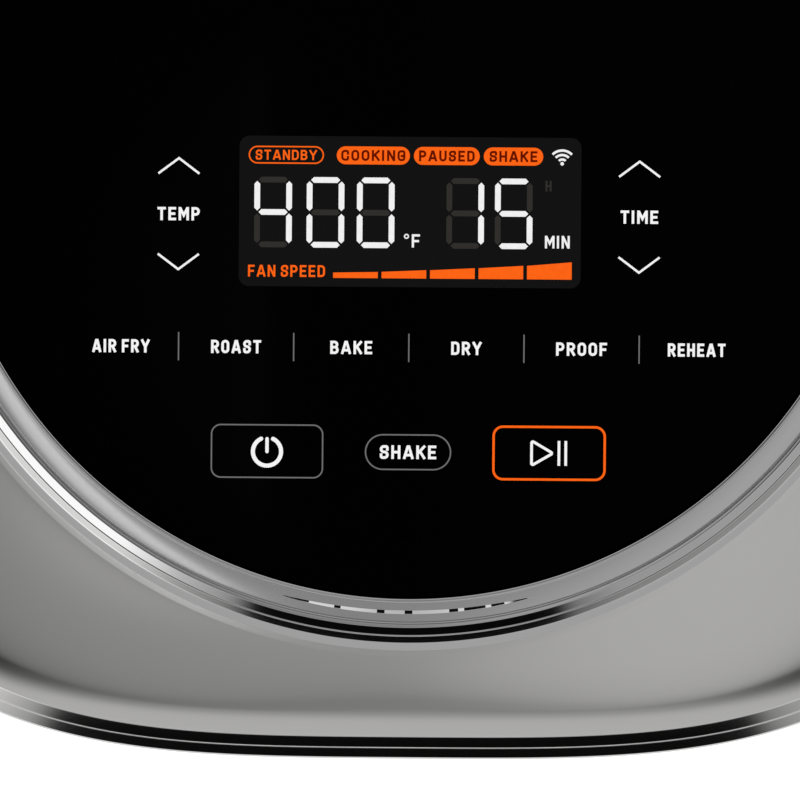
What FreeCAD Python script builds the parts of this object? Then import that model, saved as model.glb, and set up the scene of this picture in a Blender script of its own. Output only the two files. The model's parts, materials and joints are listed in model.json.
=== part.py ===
"""Single-basket air fryer with a round glass control panel on top.

The frame is in millimetres: +Z is up, the front with its drawer faces -Y, +X is to the user's right,
and the origin is on the surface that the feet stand on, under the centre of the body.
"""
import FreeCAD, Part

import math
import os

import Sketcher
from FreeCAD import Placement, Rotation, Vector

doc = FreeCAD.newDocument("air_fryer")
sheet = doc.addObject("Spreadsheet::Sheet", "sizes")
PARTS = []

SIZES = [
    # the plan of the body is a superellipse: |x/half|^power + |y/half|^power = 1
    ("plan_power", 3.48), ("body_half", 150), ("wall", 0.9), ("clear", 0.2),
    # heights of the body, from the surface it stands on
    ("foot_height", 5), ("foot_radius", 11), ("foot_spread", 90),
    ("base_top", 34), ("base_half_low", 131), ("base_half_high", 141.8), ("base_wall", 2.5),
    ("shell_low", 30), ("shell_half_low", 143.5), ("upright_from", 258.2), ("shell_high", 290.6),
    ("tie_x", 119), ("tie_y", 62), ("tie_radius", 4),
    # top cover and its seam with the body
    ("seam_half", 146.7), ("cover_wall", 1.1), ("cover_hole", 116), ("cover_crown", 300.3),
    # control panel
    ("glass_top", 305), ("glass_radius", 110.5), ("glass_thick", 4), ("ring_outer", 123.2),
    ("board_radius", 92), ("board_low", 292), ("board_thick", 1.6),
    ("display_wide", 80), ("display_deep", 35.4), ("display_y", -20.4),
    # drawer front and handle
    ("drawer_half", 120), ("drawer_low", 36), ("drawer_high", 204), ("drawer_gap", 1), ("skin", 1.5),
    ("backing_half", 118.5), ("backing_face", -112.5), ("backing_wall", 4.5),
    ("pocket_half", 76), ("pocket_low", 110), ("pocket_high", 168), ("pocket_floor", -117.2),
    ("handle_z", 142), ("handle_front", -147), ("handle_deep", 12), ("handle_tall", 24),
    ("post_x", 54), ("post_radius", 5.5), ("basket_screw_z", 92),
    # cooking chamber
    ("chamber_half", 112), ("chamber_front", -101), ("chamber_back", 114),
    ("chamber_low", 36), ("chamber_high", 206), ("roof_hole", 93.5),
    ("frame_front", -109.5), ("mouth_half", 109.2), ("mouth_low", 41), ("mouth_high", 199),
    ("plunger_x", 116.3), ("plunger_z", 122), ("plunger_radius", 1.3),
    # basket and crisper plate
    ("basket_half", 104), ("basket_middle", -4), ("basket_low", 42),
    ("basket_high", 172), ("basket_wall", 1.2), ("basket_taper", 2.6), ("basket_corner", 28),
    ("flange", 4.3), ("flange_thick", 1.5),
    ("plate_half", 95.3), ("plate_z", 52), ("plate_thick", 1.6), ("plate_foot_radius", 5),
    # fan, element and motor, all on the vertical axis
    ("shaft_radius", 3), ("shaft_low", 203), ("shaft_high", 283), ("running", 0.05),
    ("fan_radius", 68), ("fan_low", 208), ("fan_high", 222), ("hub_radius", 9),
    ("cooler_radius", 54), ("cooler_low", 237), ("cooler_high", 244),
    ("dish_top", 227.2), ("dish_wall", 1.2),
    ("element_z", 197), ("tube_radius", 3), ("coil_outer", 77), ("coil_pitch", 9), ("tail_x", 11.2),
    ("tail_y", 76.7), ("tail_top", 241),
    ("guard_z", 187), ("wire_radius", 1.2),
    ("deck_low", 232), ("deck_thick", 1.2), ("deck_half", 148.2),
    ("motor_low", 248.2), ("motor_high", 280), ("motor_radius", 34), ("case_wall", 2),
    ("leg_radius", 4), ("leg_reach", 63),
    # rear cover, duct and cord gland
    ("rear_half", 72), ("rear_low", 52), ("rear_high", 216), ("rear_wall", 2.4),
    ("duct_half", 50), ("duct_low", 96), ("duct_high", 162), ("duct_end", 140.5),
    ("gland_z", 70), ("gland_bore", 3.6), ("gland_radius", 8), ("gland_end", 149), ("gland_start", 136),
    ("screw_radius", 1.5),
]
for row, (alias, value) in enumerate(SIZES, 1):
    sheet.set(f"A{row}", alias)
    sheet.set(f"B{row}", str(value))
    sheet.setAlias(f"B{row}", alias)
doc.recompute()


def size(alias):
    """The value of one cell, for shapes that Part's own functions make."""
    return float(sheet.get(alias))


# ---------------------------------------------------------------- helpers: expressions and primitives


def bind(obj, **properties):
    """Binds properties of obj to expressions; a word alone is a cell of the sheet."""
    for name, text in properties.items():
        obj.setExpression(name, expression(text))
    return obj


def expression(text):
    """Puts the sheet's name before each of its aliases in an expression."""
    words, word = [], ""
    for character in str(text) + " ":
        if character.isalnum() or character in "_.":
            word += character
        else:
            words += [f"sizes.{word}" if sheet.getCellFromAlias(word) else word, character]
            word = ""
    return "".join(words).strip()


def place(obj, x=0, y=0, z=0, turn=None):
    if turn:
        obj.Placement = Placement(Vector(), turn)
    for axis, text in zip("xyz", (x, y, z)):
        obj.setExpression(f"Placement.Base.{axis}", expression(text))
    return obj


def keep(obj, label):
    """Marks a document object as a finished sub-part."""
    obj.Label = label
    PARTS.append(obj)
    return obj


ALONG = {"Z": None, "Y": Rotation(Vector(1, 0, 0), -90), "X": Rotation(Vector(0, 1, 0), 90)}


def cylinder(radius, height, x=0, y=0, z=0, along="Z"):
    obj = bind(doc.addObject("Part::Cylinder", "rod"), Radius=radius, Height=height)
    return place(obj, x, y, z, ALONG[along])


def box(low, high):
    """A box between two corners, each three expressions."""
    obj = doc.addObject("Part::Box", "block")
    spans = [f"({b}) - ({a})" for a, b in zip(low, high)]
    bind(obj, Length=spans[0], Width=spans[1], Height=spans[2])
    return place(obj, *low)


def fuse(*shapes):
    obj = doc.addObject("Part::MultiFuse", "fused")
    obj.Shapes = list(shapes)
    return obj


def cut(base, *tools):
    obj = doc.addObject("Part::Cut", "cut")
    obj.Base = base
    obj.Tool = tools[0] if len(tools) == 1 else fuse(*tools)
    return obj


def common(first, second):
    obj = doc.addObject("Part::Common", "common")
    obj.Base, obj.Tool = first, second
    return obj


def group(*shapes):
    """Separate solids that share one node."""
    obj = doc.addObject("Part::Compound", "group")
    obj.Links = list(shapes)
    return obj


def feature(shape, name="shape"):
    obj = doc.addObject("Part::Feature", name)
    obj.Shape = shape
    return obj


def rounded_block(low, high, radius, along="Z"):
    """A box with its four edges along one direction rounded."""
    base = box(low, high)
    doc.recompute()
    direction = {"X": Vector(1, 0, 0), "Y": Vector(0, 1, 0), "Z": Vector(0, 0, 1)}[along]
    obj = doc.addObject("Part::Fillet", "rounded")
    obj.Base = base
    edges = [
        (n, radius, radius)
        for n, e in enumerate(base.Shape.Edges, 1)
        if abs(e.tangentAt(e.FirstParameter).dot(direction)) > 0.99
    ]
    obj.Edges = edges
    return obj


# ---------------------------------------------------------------- helpers: PartDesign bodies


def origin_plane(body, role):
    return next(f for f in body.Origin.OriginFeatures if f.Role == role)


def new_body(name):
    return doc.addObject("PartDesign::Body", name)


def outline(body, points, plane="XY_Plane", height="0", circles=()):
    """A closed sketch through points, each a pair of expressions, with round holes (x, y, radius)."""
    sketch = body.newObject("Sketcher::SketchObject", "outline")
    sketch.AttachmentSupport = (origin_plane(body, plane), [""])
    sketch.MapMode = "FlatFace"
    sketch.setExpression("AttachmentOffset.Base.z", expression(height))
    count = len(points)
    for n in range(count):
        a, b = Vector(10 * n, n * n, 0), Vector(10 * (n + 1), (n + 1) ** 2, 0)
        sketch.addGeometry(Part.LineSegment(a, b), False)
    for n in range(count):
        sketch.addConstraint(Sketcher.Constraint("Coincident", n, 2, (n + 1) % count, 1))
    for n, point in enumerate(points):
        for kind, text in zip(("DistanceX", "DistanceY"), point):
            number = sketch.addConstraint(Sketcher.Constraint(kind, n, 1, 1.0 + n))
            sketch.setExpression(f"Constraints[{number}]", expression(text))
    for x, y, radius in circles:
        geometry = sketch.addGeometry(Part.Circle(Vector(1, 1, 0), Vector(0, 0, 1), 2), False)
        for kind, text in (("DistanceX", x), ("DistanceY", y)):
            number = sketch.addConstraint(Sketcher.Constraint(kind, geometry, 3, 1.0))
            sketch.setExpression(f"Constraints[{number}]", expression(text))
        number = sketch.addConstraint(Sketcher.Constraint("Radius", geometry, 2.0))
        sketch.setExpression(f"Constraints[{number}]", expression(radius))
    return sketch


def discs(body, circles, height="0"):
    return outline(body, (), "XY_Plane", height, circles)


def pad(body, sketch, length):
    obj = body.newObject("PartDesign::Pad", "pad")
    obj.Profile = sketch
    return bind(obj, Length=length)


def revolved(name, profile):
    """A body turned about the Z axis from (radius, height) points."""
    body = new_body(name)
    sketch = outline(body, profile, "XZ_Plane")
    turned = body.newObject("PartDesign::Revolution", "turned")
    turned.Profile = sketch
    turned.ReferenceAxis = (sketch, ["V_Axis"])
    turned.Angle = 360
    return body


# ---------------------------------------------------------------- helpers: the superellipse and routes


def ring_wire(half, z, corner_share=1.0, points=48):
    """One level of the plan; corner_share 0 is a circle, 1 is the full superellipse."""
    power = size("plan_power")
    knots = []
    for n in range(points):
        angle = 2 * math.pi * n / points
        c, s = abs(math.cos(angle)), abs(math.sin(angle))
        reach = (c**power + s**power) ** (-1 / power)
        radius = half * (1 + corner_share * (reach - 1))
        knots.append(Vector(radius * math.cos(angle), radius * math.sin(angle), z))
    curve = Part.BSplineCurve()
    curve.interpolate(knots, PeriodicFlag=True)
    return Part.Wire(curve.toShape())


def stack(levels, ruled=False):
    """A solid through levels of (half, z) or (half, z, corner_share)."""
    return Part.makeLoft([ring_wire(*level) for level in levels], True, ruled)


def body_half_at(z):
    """The body widens slowly from its foot and is upright near the top."""
    low, top = size("shell_low"), size("upright_from")
    share = min(1.0, max(0.0, (top - z) / (top - low)))
    return size("body_half") - (size("body_half") - size("shell_half_low")) * share**1.7


WALL_LEVELS = (20, 30, 65, 110, 160, 205, 245, 265)


def body_solid(inset, top=None):
    """The body's outer form, moved in by inset, from below its foot to near its top."""
    levels = [(body_half_at(z) - inset, z) for z in WALL_LEVELS]
    levels.append((size("body_half") - inset, top or size("upright_from") + 26))
    return stack(levels)


def bend_path(points):
    """Edges along straight runs joined by tangent arcs."""
    edges, start = [], points[0]
    for before, corner, after in zip(points, points[1:], points[2:]):
        back, ahead = before - corner, after - corner
        reach = 0.45 * min(back.Length, ahead.Length)
        back.normalize()
        ahead.normalize()
        a, b = corner + back * reach, corner + ahead * reach
        half_angle = back.getAngle(ahead) / 2
        bend = reach * math.tan(half_angle)
        middle = back + ahead
        middle.normalize()
        top = corner + middle * (bend / math.sin(half_angle) - bend)
        edges += [Part.LineSegment(start, a).toShape(), Part.Arc(a, top, b).toShape()]
        start = b
    edges.append(Part.LineSegment(start, points[-1]).toShape())
    return edges


# ---------------------------------------------------------------- feet and base


def corners(spread):
    return [(f"{a} * {spread}", f"{b} * {spread}") for a in (-1, 1) for b in (-1, 1)]


def make_feet():
    feet, screws = [], []
    for x, y in corners("foot_spread"):
        sole = cylinder("foot_radius", "foot_height", x, y)
        feet.append(cut(sole, cylinder(4.2, 2.5, x, y), cylinder(2.1, "foot_height", x, y)))
        screws.append(fuse(cylinder(3.8, 1.5, x, y, 1), cylinder("screw_radius", 14, x, y, 2.5)))
    keep(group(*feet), "rubber_feet")
    keep(group(*screws), "foot_screws")


TIE_SPOTS = [(f"{a} * tie_x", f"{b} * tie_y") for a in (-1, 1) for b in (-1, 1)]


def make_base():
    low, high = size("foot_height"), size("base_top")
    half_low, half_high, wall = size("base_half_low"), size("base_half_high"), size("base_wall")
    outer = stack([(half_low, low), (half_low + 5, low + 8), (half_high, high)])
    inner = stack(
        [(half_low - wall, low + 3), (half_low + 5 - wall, low + 8), (half_high - wall, high + 0.01)]
    )
    tray = outer.cut(inner)
    slots = []
    for n in range(-6, 7):
        slot = Part.makeBox(4, 70, 6, Vector(10 * n - 2, -35, low - 1))
        slots.append(slot)
    tray = tray.cut(Part.makeCompound(slots))
    posts = []
    for x, y in corners("foot_spread"):
        posts.append(cylinder(5, "12", x, y, "foot_height + 2"))
    for x, y in corners(76):
        posts.append(cylinder(6, "chamber_low - foot_height - 2", x, y, "foot_height + 2"))
    for x, y in TIE_SPOTS:
        posts.append(cylinder(6, 7, x, y, "foot_height + 2"))
    holes = [cylinder("screw_radius + 0.1", 30, x, y, "foot_height - 5") for x, y in corners("foot_spread")]
    keep(cut(fuse(feature(tray, "base_tray"), *posts), *holes), "base_pan")


# ---------------------------------------------------------------- outer body


def make_shell():
    half, top, wall, seam = (size(a) for a in ("body_half", "shell_high", "wall", "seam_half"))
    lip = seam + size("clear")
    walls = body_solid(0, top - 10)
    roll = stack(
        [(half, top - 10), (half, top - 5), (half - 0.2, top - 3.2), (half - 0.75, top - 1.9),
         (half - 1.2, top - 1.45), (half - 2.9, top - 0.1), (lip, top)],
        True,
    )
    form = walls.fuse(roll)
    inside = body_solid(wall, top - 2.6)
    mouth = stack([(lip, top - 12), (lip, top + 1)])
    below = Part.makeBox(400, 400, size("shell_low"), Vector(-200, -200, 0))
    shell = form.cut(inside).cut(mouth).cut(below)
    opening = box(
        ("-drawer_half - drawer_gap", -200, "drawer_low - drawer_gap"),
        ("drawer_half + drawer_gap", -90, "drawer_high + drawer_gap"),
    )
    rear = rounded_block(
        ("-rear_half - 0.3", 90, "rear_low - 0.3"), ("rear_half + 0.3", 200, "rear_high + 0.3"), 12, "Y"
    )
    wrap = cut(feature(shell, "shell_form"), opening, rear)
    edge, near, far = "drawer_half + drawer_gap", 60, 200
    keep(common(wrap, box((f"-{far}", -far, 0), (f"-({edge})", far, 400))), "shell_left")
    keep(common(wrap, box((edge, -far, 0), (far, far, 400))), "shell_right")
    keep(common(wrap, box((f"-({edge})", near, 0), (edge, far, 400))), "shell_back")
    keep(common(wrap, box((f"-({edge})", -far, "drawer_high"), (edge, -near, 400))), "shell_header")
    keep(common(wrap, box((f"-({edge})", -far, 0), (edge, -near, "drawer_low"))), "shell_sill")


def cover_levels(inset):
    """The cover: upright edge, a tight round, a sloping brim, then a slow rise to the ring's circle."""
    seam, crown, ring = size("seam_half"), size("cover_crown"), size("ring_outer")
    rows = [
        (seam, -17.5), (seam, -7.6), (seam - 0.25, -7.1), (seam - 2.6, -5), (seam - 3.3, -4.5),
        (seam - 8.3, -2.5), (seam - 10.5, -1.75, 0.97), (seam - 14, -1.25, 0.9),
        (ring + 8, -0.75, 0.45), (ring + 3.5, -0.25, 0.1), (ring + 1.5, 0, 0),
    ]
    return [(row[0] - inset, crown + row[1] - inset, *row[2:]) for row in rows]


def make_cover():
    wall, crown = size("cover_wall"), size("cover_crown")
    outer = stack(cover_levels(0), True)
    inner = stack(cover_levels(wall), True)
    low = crown - 17.5
    skirt = stack([(size("seam_half") - wall, low - 2), (size("seam_half") - wall, low + 4)], True)
    form = outer.cut(inner).cut(skirt)
    hole = cylinder("cover_hole", 40, 0, 0, "cover_crown - 30")
    keep(cut(feature(form, "cover_form"), hole), "top_cover")


def make_rear_cover():
    """A louvred panel that carries on the curve of the body, on four posts from the chamber."""
    panel = feature(body_solid(0.3).cut(body_solid(size("rear_wall") + 0.3)), "rear_form")
    block = rounded_block(("-rear_half", 110, "rear_low"), ("rear_half", 160, "rear_high"), 11.7, "Y")
    louvres = []
    for n in range(9):
        low = f"duct_low + 5 + {6.5 * n}"
        louvres.append(box(("-duct_half + 3", 130, low), ("duct_half - 3", 160, f"{low} + 3.2")))
    posts, bores, screws = [], [], []
    for x in (-1, 1):
        for z in ("rear_low + 12", "rear_high - 20"):
            at = f"{x} * (rear_half - 11)"
            posts.append(cylinder(4.5, "145 - chamber_back", at, "chamber_back", z, "Y"))
            bores.append(cylinder("screw_radius + 0.1", 60, at, 110, z, "Y"))
            bores.append(cylinder(3.4, 20, at, "145.4 - 2", z, "Y"))
            shank = cylinder("screw_radius", "145.4 - 112", at, 112, z, "Y")
            screws.append(fuse(shank, cylinder(3.1, 1.2, at, "145.4 - 2", z, "Y")))
    hull = feature(body_solid(0.4), "rear_hull")
    posts = common(fuse(*posts), hull)
    gland = cylinder("gland_radius + 0.1", 40, 0, 120, "gland_z", "Y")
    keep(cut(fuse(common(panel, block), posts), *louvres, *bores, gland), "rear_cover")
    keep(group(*screws), "rear_cover_screws")


def make_gland():
    sleeve = cylinder("gland_radius", "gland_end - gland_start", 0, "gland_start", "gland_z", "Y")
    collar = cylinder("gland_radius + 2", "gland_end - 146", 0, 146, "gland_z", "Y")
    back = cylinder("gland_radius + 2", 3, 0, "gland_start", "gland_z", "Y")
    bore = cylinder("gland_bore", 40, 0, 120, "gland_z", "Y")
    keep(cut(fuse(sleeve, collar, back), bore), "cord_gland")


def make_duct():
    outer = box(("-duct_half", "chamber_back", "duct_low"), ("duct_half", "duct_end", "duct_high"))
    inner = box(
        ("-duct_half + 1.5", "chamber_back - 5", "duct_low + 1.5"),
        ("duct_half - 1.5", "duct_end + 5", "duct_high - 1.5"),
    )
    keep(cut(outer, inner), "exhaust_duct")


# ---------------------------------------------------------------- control panel


def make_glass():
    body = new_body("glass")
    pad(body, discs(body, [(0, 0, "glass_radius")], "glass_top - glass_thick"), "glass_thick")
    keep(body, "control_glass")


def make_bezel():
    """A lip, a broad land, a groove, and two steep steps that land on the cover."""
    g, t = "glass_radius", "glass_top"
    profile = [
        (f"{g} - 4", f"{t} - glass_thick - 1.5"), (f"{g} - 4", f"{t} - glass_thick"),
        (f"{g} + 0.15", f"{t} - glass_thick"), (f"{g} + 0.15", f"{t} + 0.1"),
        (f"{g} + 0.9", f"{t} + 0.8"), (f"{g} + 1.3", f"{t} + 0.55"), (f"{g} + 1.6", f"{t} + 0.8"),
        (f"{g} + 5.4", f"{t} + 0.4"), (f"{g} + 5.8", f"{t} - 0.1"), (f"{g} + 6.2", f"{t} + 0.2"),
        (f"{g} + 7.2", f"{t} - 0.2"), (f"{g} + 9", f"{t} - 1.8"), (f"{g} + 9.6", f"{t} - 1.9"),
        (f"{g} + 10.8", f"{t} - 3.3"), ("ring_outer", f"{t} - 4.2"), ("ring_outer", "cover_crown + 0.1"),
        ("cover_hole - 0.5", "cover_crown + 0.1"), ("cover_hole - 0.5", f"{t} - 8"),
        ("cover_hole - 3", f"{t} - 8"), ("cover_hole - 3", f"{t} - glass_thick - 1.5"),
    ]
    keep(revolved("bezel", profile), "bezel_ring")


PRESET_PITCH = 26.94
KEY_SPOTS = (
    # touch keys on the glass: presets, power, shake, start, and the arrows beside the display
    [(PRESET_PITCH * (n - 2.5), -52.0) for n in range(6)]
    + [(-33, -76.4), (0, -76.4), (33, -76.4)]
    + [(x, y) for x in (-54.1, 53.7) for y in (-8, -34)]
)


def make_control():
    board = new_body("board")
    pad(board, discs(board, [(0, 0, "board_radius")], "board_low"), "board_thick")
    keep(board, "touch_board")
    top = "board_low + board_thick"
    keep(
        box(
            ("-display_wide / 2", "display_y - display_deep / 2", top),
            ("display_wide / 2", "display_y + display_deep / 2", "glass_top - glass_thick - 0.3"),
        ),
        "display_module",
    )
    pads = [cylinder(3.5, "glass_top - glass_thick - 0.1 - board_low - board_thick", x, y, top)
            for x, y in KEY_SPOTS]
    keep(group(*pads), "touch_key_springs")
    floor = "board_low - 3.5"
    ring = revolved(
        "carrier",
        [("board_radius - 14", floor), ("cover_hole - 1.5", floor), ("cover_hole - 1.5", "glass_top - 8.2"),
         ("cover_hole - 3.5", "glass_top - 8.2"), ("cover_hole - 3.5", f"{floor} + 1.5"),
         ("board_radius - 14", f"{floor} + 1.5")],
    )
    posts = []
    for n in range(6):
        angle = math.radians(30 + 60 * n)
        posts.append(
            cylinder(3, 2.3, f"{math.cos(angle):.4f} * 85", f"{math.sin(angle):.4f} * 85", f"{floor} + 1.2")
        )
    keep(fuse(ring, *posts), "panel_carrier")


# ---------------------------------------------------------------- drawer front and handle


def pocket_block(inset, floor):
    low = (f"-pocket_half + {inset}", -200, f"pocket_low + {inset}")
    return rounded_block(low, (f"pocket_half - {inset}", floor, f"pocket_high - {inset}"), 14 - inset, "Y")


def make_drawer_front():
    slab = box(("-drawer_half", -200, "drawer_low"), ("drawer_half", -90, "drawer_high"))
    skin = feature(body_solid(0).cut(body_solid(size("skin"))), "front_skin")
    keep(cut(common(skin, slab), pocket_block(0, -100)), "drawer_front")

    low, high, gap = "drawer_low + 1.5", "drawer_high - 1.5", 3.5
    block = box(("-backing_half", -200, low), ("backing_half", "backing_face", high))
    form = common(feature(body_solid(size("skin") + 0.1), "backing_form"), block)
    hollow = box(
        (f"-backing_half + {gap}", -200, f"{low} + {gap}"),
        (f"backing_half - {gap}", "backing_face - backing_wall", f"{high} - {gap}"),
    )
    bosses, bores = [], []
    for side in (-1, 1):
        at, screw = f"{side} * post_x", f"{side} * 60"
        bosses.append(cylinder(6, "6.5", screw, "backing_face - 0.5", "basket_screw_z", "Y"))
        bores.append(cylinder(2.1, 30, at, -130, "handle_z", "Y"))
        bores.append(cylinder(4.5, 5, at, "backing_face - 3", "handle_z", "Y"))
        bores.append(cylinder(2, 30, screw, -130, "basket_screw_z", "Y"))
    hull = feature(tub(-0.1, size("basket_low") - 1, 1), "basket_hull")
    keep(cut(fuse(cut(form, hollow), *bosses), hull, *bores), "drawer_backing")

    cup = common(pocket_block(0.2, "pocket_floor"), feature(body_solid(0), "pocket_form"))
    holes = [cylinder(2.1, 20, f"{s} * post_x", -125, "handle_z", "Y") for s in (-1, 1)]
    keep(cut(cup, pocket_block(2.2, "pocket_floor - 1.8"), *holes), "handle_pocket")


def make_handle():
    """A flat grab bar inside the pocket, on two posts, with a thin trim strip let into its front."""
    back = "handle_front + handle_deep"
    half = "pocket_half - 6"
    bar = rounded_block(
        (f"-({half})", "handle_front", "handle_z - handle_tall / 2"),
        (half, back, "handle_z + handle_tall / 2"), 5.4, "X",
    )
    groove = box(
        (f"-({half}) + 6", "handle_front - 1", "handle_z - 3"),
        (f"{half} - 6", "handle_front + 0.8", "handle_z + 3"),
    )
    posts, holes, screws = [], [], []
    for side in (-1, 1):
        at = f"{side} * post_x"
        posts.append(cylinder("post_radius", "pocket_floor - 1.9 + 140", at, -140, "handle_z", "Y"))
        holes.append(cylinder(2.05, 20, at, -136, "handle_z", "Y"))
        shank = cylinder(2, "136 + backing_face - 1", at, -135.5, "handle_z", "Y")
        screws.append(fuse(shank, cylinder(4.2, 2.8, at, "backing_face - 2.9", "handle_z", "Y")))
    keep(cut(fuse(bar, *posts), groove, *holes), "handle_bar")
    keep(group(*screws), "handle_screws")
    strip = box(
        (f"-({half}) + 6.1", "handle_front + 0.1", "handle_z - 2.9"),
        (f"{half} - 6.1", "handle_front + 0.8", "handle_z + 2.9"),
    )
    keep(strip, "handle_trim")


def make_gasket():
    """A rubber frame on the back of the drawer front."""
    low, high = "drawer_low + 2.5", "drawer_high - 2.5"
    outer = box(("-114", "backing_face", low), ("114", "backing_face + 2.5", high))
    inner = box(("-110.6", "backing_face - 1", f"{low} + 3"), ("110.6", "backing_face + 4", f"{high} - 3"))
    keep(cut(outer, inner), "drawer_gasket")


# ---------------------------------------------------------------- basket and crisper plate


def round_rectangle(half_x, middle_y, half_y, radius, z):
    """A wire: a rectangle with arcs at its corners, centred on x = 0."""
    edges = []
    bulge = radius * math.sqrt(0.5)
    corner = [(half_x - radius, half_y - radius), (radius - half_x, half_y - radius)]
    corner += [(radius - half_x, radius - half_y), (half_x - radius, radius - half_y)]
    turns = [(1, 0), (0, 1), (-1, 0), (0, -1)]
    for n, (x, y) in enumerate(corner):
        (ax, ay), (bx, by) = turns[n], turns[(n + 1) % 4]
        start = Vector(x + radius * ax, middle_y + y + radius * ay, z)
        middle = Vector(x + bulge * (ax + bx), middle_y + y + bulge * (ay + by), z)
        end = Vector(x + radius * bx, middle_y + y + radius * by, z)
        edges.append(Part.Arc(start, middle, end).toShape())
        next_x, next_y = corner[(n + 1) % 4]
        after = Vector(next_x + radius * bx, middle_y + next_y + radius * by, z)
        edges.append(Part.LineSegment(end, after).toShape())
    return Part.Wire(edges)


def tub(inset, low, lip=0):
    """The basket's tapered form; inset moves its walls in."""
    half, middle, high = size("basket_half"), size("basket_middle"), size("basket_high")
    slope = math.tan(math.radians(size("basket_taper")))
    levels = []
    for z in (low, high + lip):
        reach = half - inset - (high - z) * slope
        levels.append(round_rectangle(reach, middle, reach, size("basket_corner") - inset, z))
    return Part.makeLoft(levels, True, True)


def bottom_edges(shape, z):
    return [e for e in shape.Edges if all(abs(v.Z - z) < 0.01 for v in e.Vertexes)]


def make_basket():
    low, high, wall = size("basket_low"), size("basket_high"), size("basket_wall")
    outer = tub(0, low)
    outer = outer.makeFillet(9, bottom_edges(outer, low))
    inner = tub(wall, low + wall, 1)
    inner = inner.makeFillet(7.5, bottom_edges(inner, low + wall))
    reach, thick = size("basket_half") + size("flange"), size("flange_thick")
    middle, corner = size("basket_middle"), size("basket_corner")
    rim = Part.Face(round_rectangle(reach, middle, reach - 0.1, corner, high - thick))
    form = feature(outer.fuse(rim.extrude(Vector(0, 0, thick))).cut(inner), "tub_form")
    bores, screws = [], []
    for side in (-1, 1):
        at = f"{side} * 60"
        bores.append(cylinder(2, 20, at, -115, "basket_screw_z", "Y"))
        shank = cylinder(1.9, 14.5, at, -116.5, "basket_screw_z", "Y")
        screws.append(fuse(shank, cylinder(4, 2, at, -102.6, "basket_screw_z", "Y")))
    keep(cut(form, *bores), "basket")
    keep(group(*screws), "basket_screws")


def make_crisper():
    """A perforated plate with four silicone feet; its grip ring is two upright tabs near the middle."""
    middle, half = size("basket_middle"), size("plate_half")
    z, thick = size("plate_z"), size("plate_thick")
    form = Part.Face(round_rectangle(half, middle, half, 24, z)).extrude(Vector(0, 0, thick))
    holes, pitch, across = [], 13.0, 6
    for row in range(-across, across + 1):
        for column in range(-across, across + 1):
            steps = abs(column) + abs(row)
            if steps < 2 or steps > 10:
                continue
            radius = 3.2 if steps % 2 else 2.4
            holes.append(Part.makeCylinder(radius, 6, Vector(column * pitch, middle + row * pitch, z - 2)))
    form = form.cut(Part.makeCompound(holes))
    bump = Part.makeCylinder(7, 3, Vector(0, middle, z))
    bump = bump.cut(Part.makeCylinder(5, 5, Vector(0, middle, z - 1)))
    dome = Part.makeCylinder(7, 1, Vector(0, middle, z + 3))
    keep(feature(form.fuse(bump).fuse(dome), "crisper"), "crisper_plate")
    feet = []
    under = "(basket_low + basket_wall)"
    for x, y in corners(79):
        at = f"basket_middle + {y}"
        feet.append(cylinder("plate_foot_radius", f"plate_z - {under} - 0.4", x, at, f"{under} + 0.4"))
    keep(group(*feet), "plate_feet")


# ---------------------------------------------------------------- chamber, element and fan


def make_chamber():
    half, front, back, low, high = (
        "chamber_half", "chamber_front", "chamber_back", "chamber_low", "chamber_high"
    )
    outer = box((f"-{half}", front, low), (half, back, high))
    inner = box(
        (f"-{half} + wall", f"{front} - 5", f"{low} + wall"),
        (f"{half} - wall", f"{back} - wall", f"{high} - wall"),
    )
    roof = cylinder("roof_hole", 20, 0, 0, f"{high} - 10")
    vent = box(("-duct_half + 4", 100, "duct_low + 4"), ("duct_half - 4", 130, "duct_high - 4"))
    bores = []
    for x in (-1, 1):
        for z in ("rear_low + 12", "rear_high - 20"):
            bores.append(cylinder("screw_radius + 0.1", 20, f"{x} * (rear_half - 11)", 105, z, "Y"))
    keep(cut(outer, inner, roof, vent, *bores), "cooking_chamber")

    frame = feature(body_solid(size("wall") + 0.3), "frame_form")
    slab = box(("-130", "frame_front", "base_top + 0.6"), ("130", "chamber_front", "chamber_high + 3"))
    mouth = box(("-mouth_half", -130, "mouth_low"), ("mouth_half", -90, "mouth_high"))
    guide = cylinder("plunger_radius + 0.3", 30, "plunger_x", -120, "plunger_z", "Y")
    rim = cylinder(103.4, 10, 0, 0, "chamber_high - 0.1")
    keep(cut(common(frame, slab), mouth, guide, rim), "front_frame")

    for side, name in ((-1, "drawer_rail_left"), (1, "drawer_rail_right")):
        ends = sorted((side * 105.6, side * (size("chamber_half") - size("wall") - 0.05)))
        top = "basket_high - flange_thick - 0.4"
        rail = box((ends[0], -100, f"{top} - 5"), (ends[1], 98, top))
        lip = box((ends[0] if side < 0 else ends[1] - 1.2, -100, f"{top} - 14"),
                  (ends[0] + 1.2 if side < 0 else ends[1], 98, f"{top} - 4"))
        keep(fuse(rail, lip), name)


def make_switch():
    face = "chamber_front"
    body = box(("plunger_x - 4", face, "plunger_z - 9"), ("plunger_x + 4", f"{face} + 15", "plunger_z + 9"))
    hole = cylinder("plunger_radius + 0.3", 8, "plunger_x", f"{face} - 1", "plunger_z", "Y")
    keep(cut(body, hole), "door_switch")
    start = "backing_face + 0.3"
    rod = cylinder("plunger_radius", f"chamber_front + 4 - ({start})", "plunger_x", start, "plunger_z", "Y")
    keep(rod, "switch_plunger")


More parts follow.
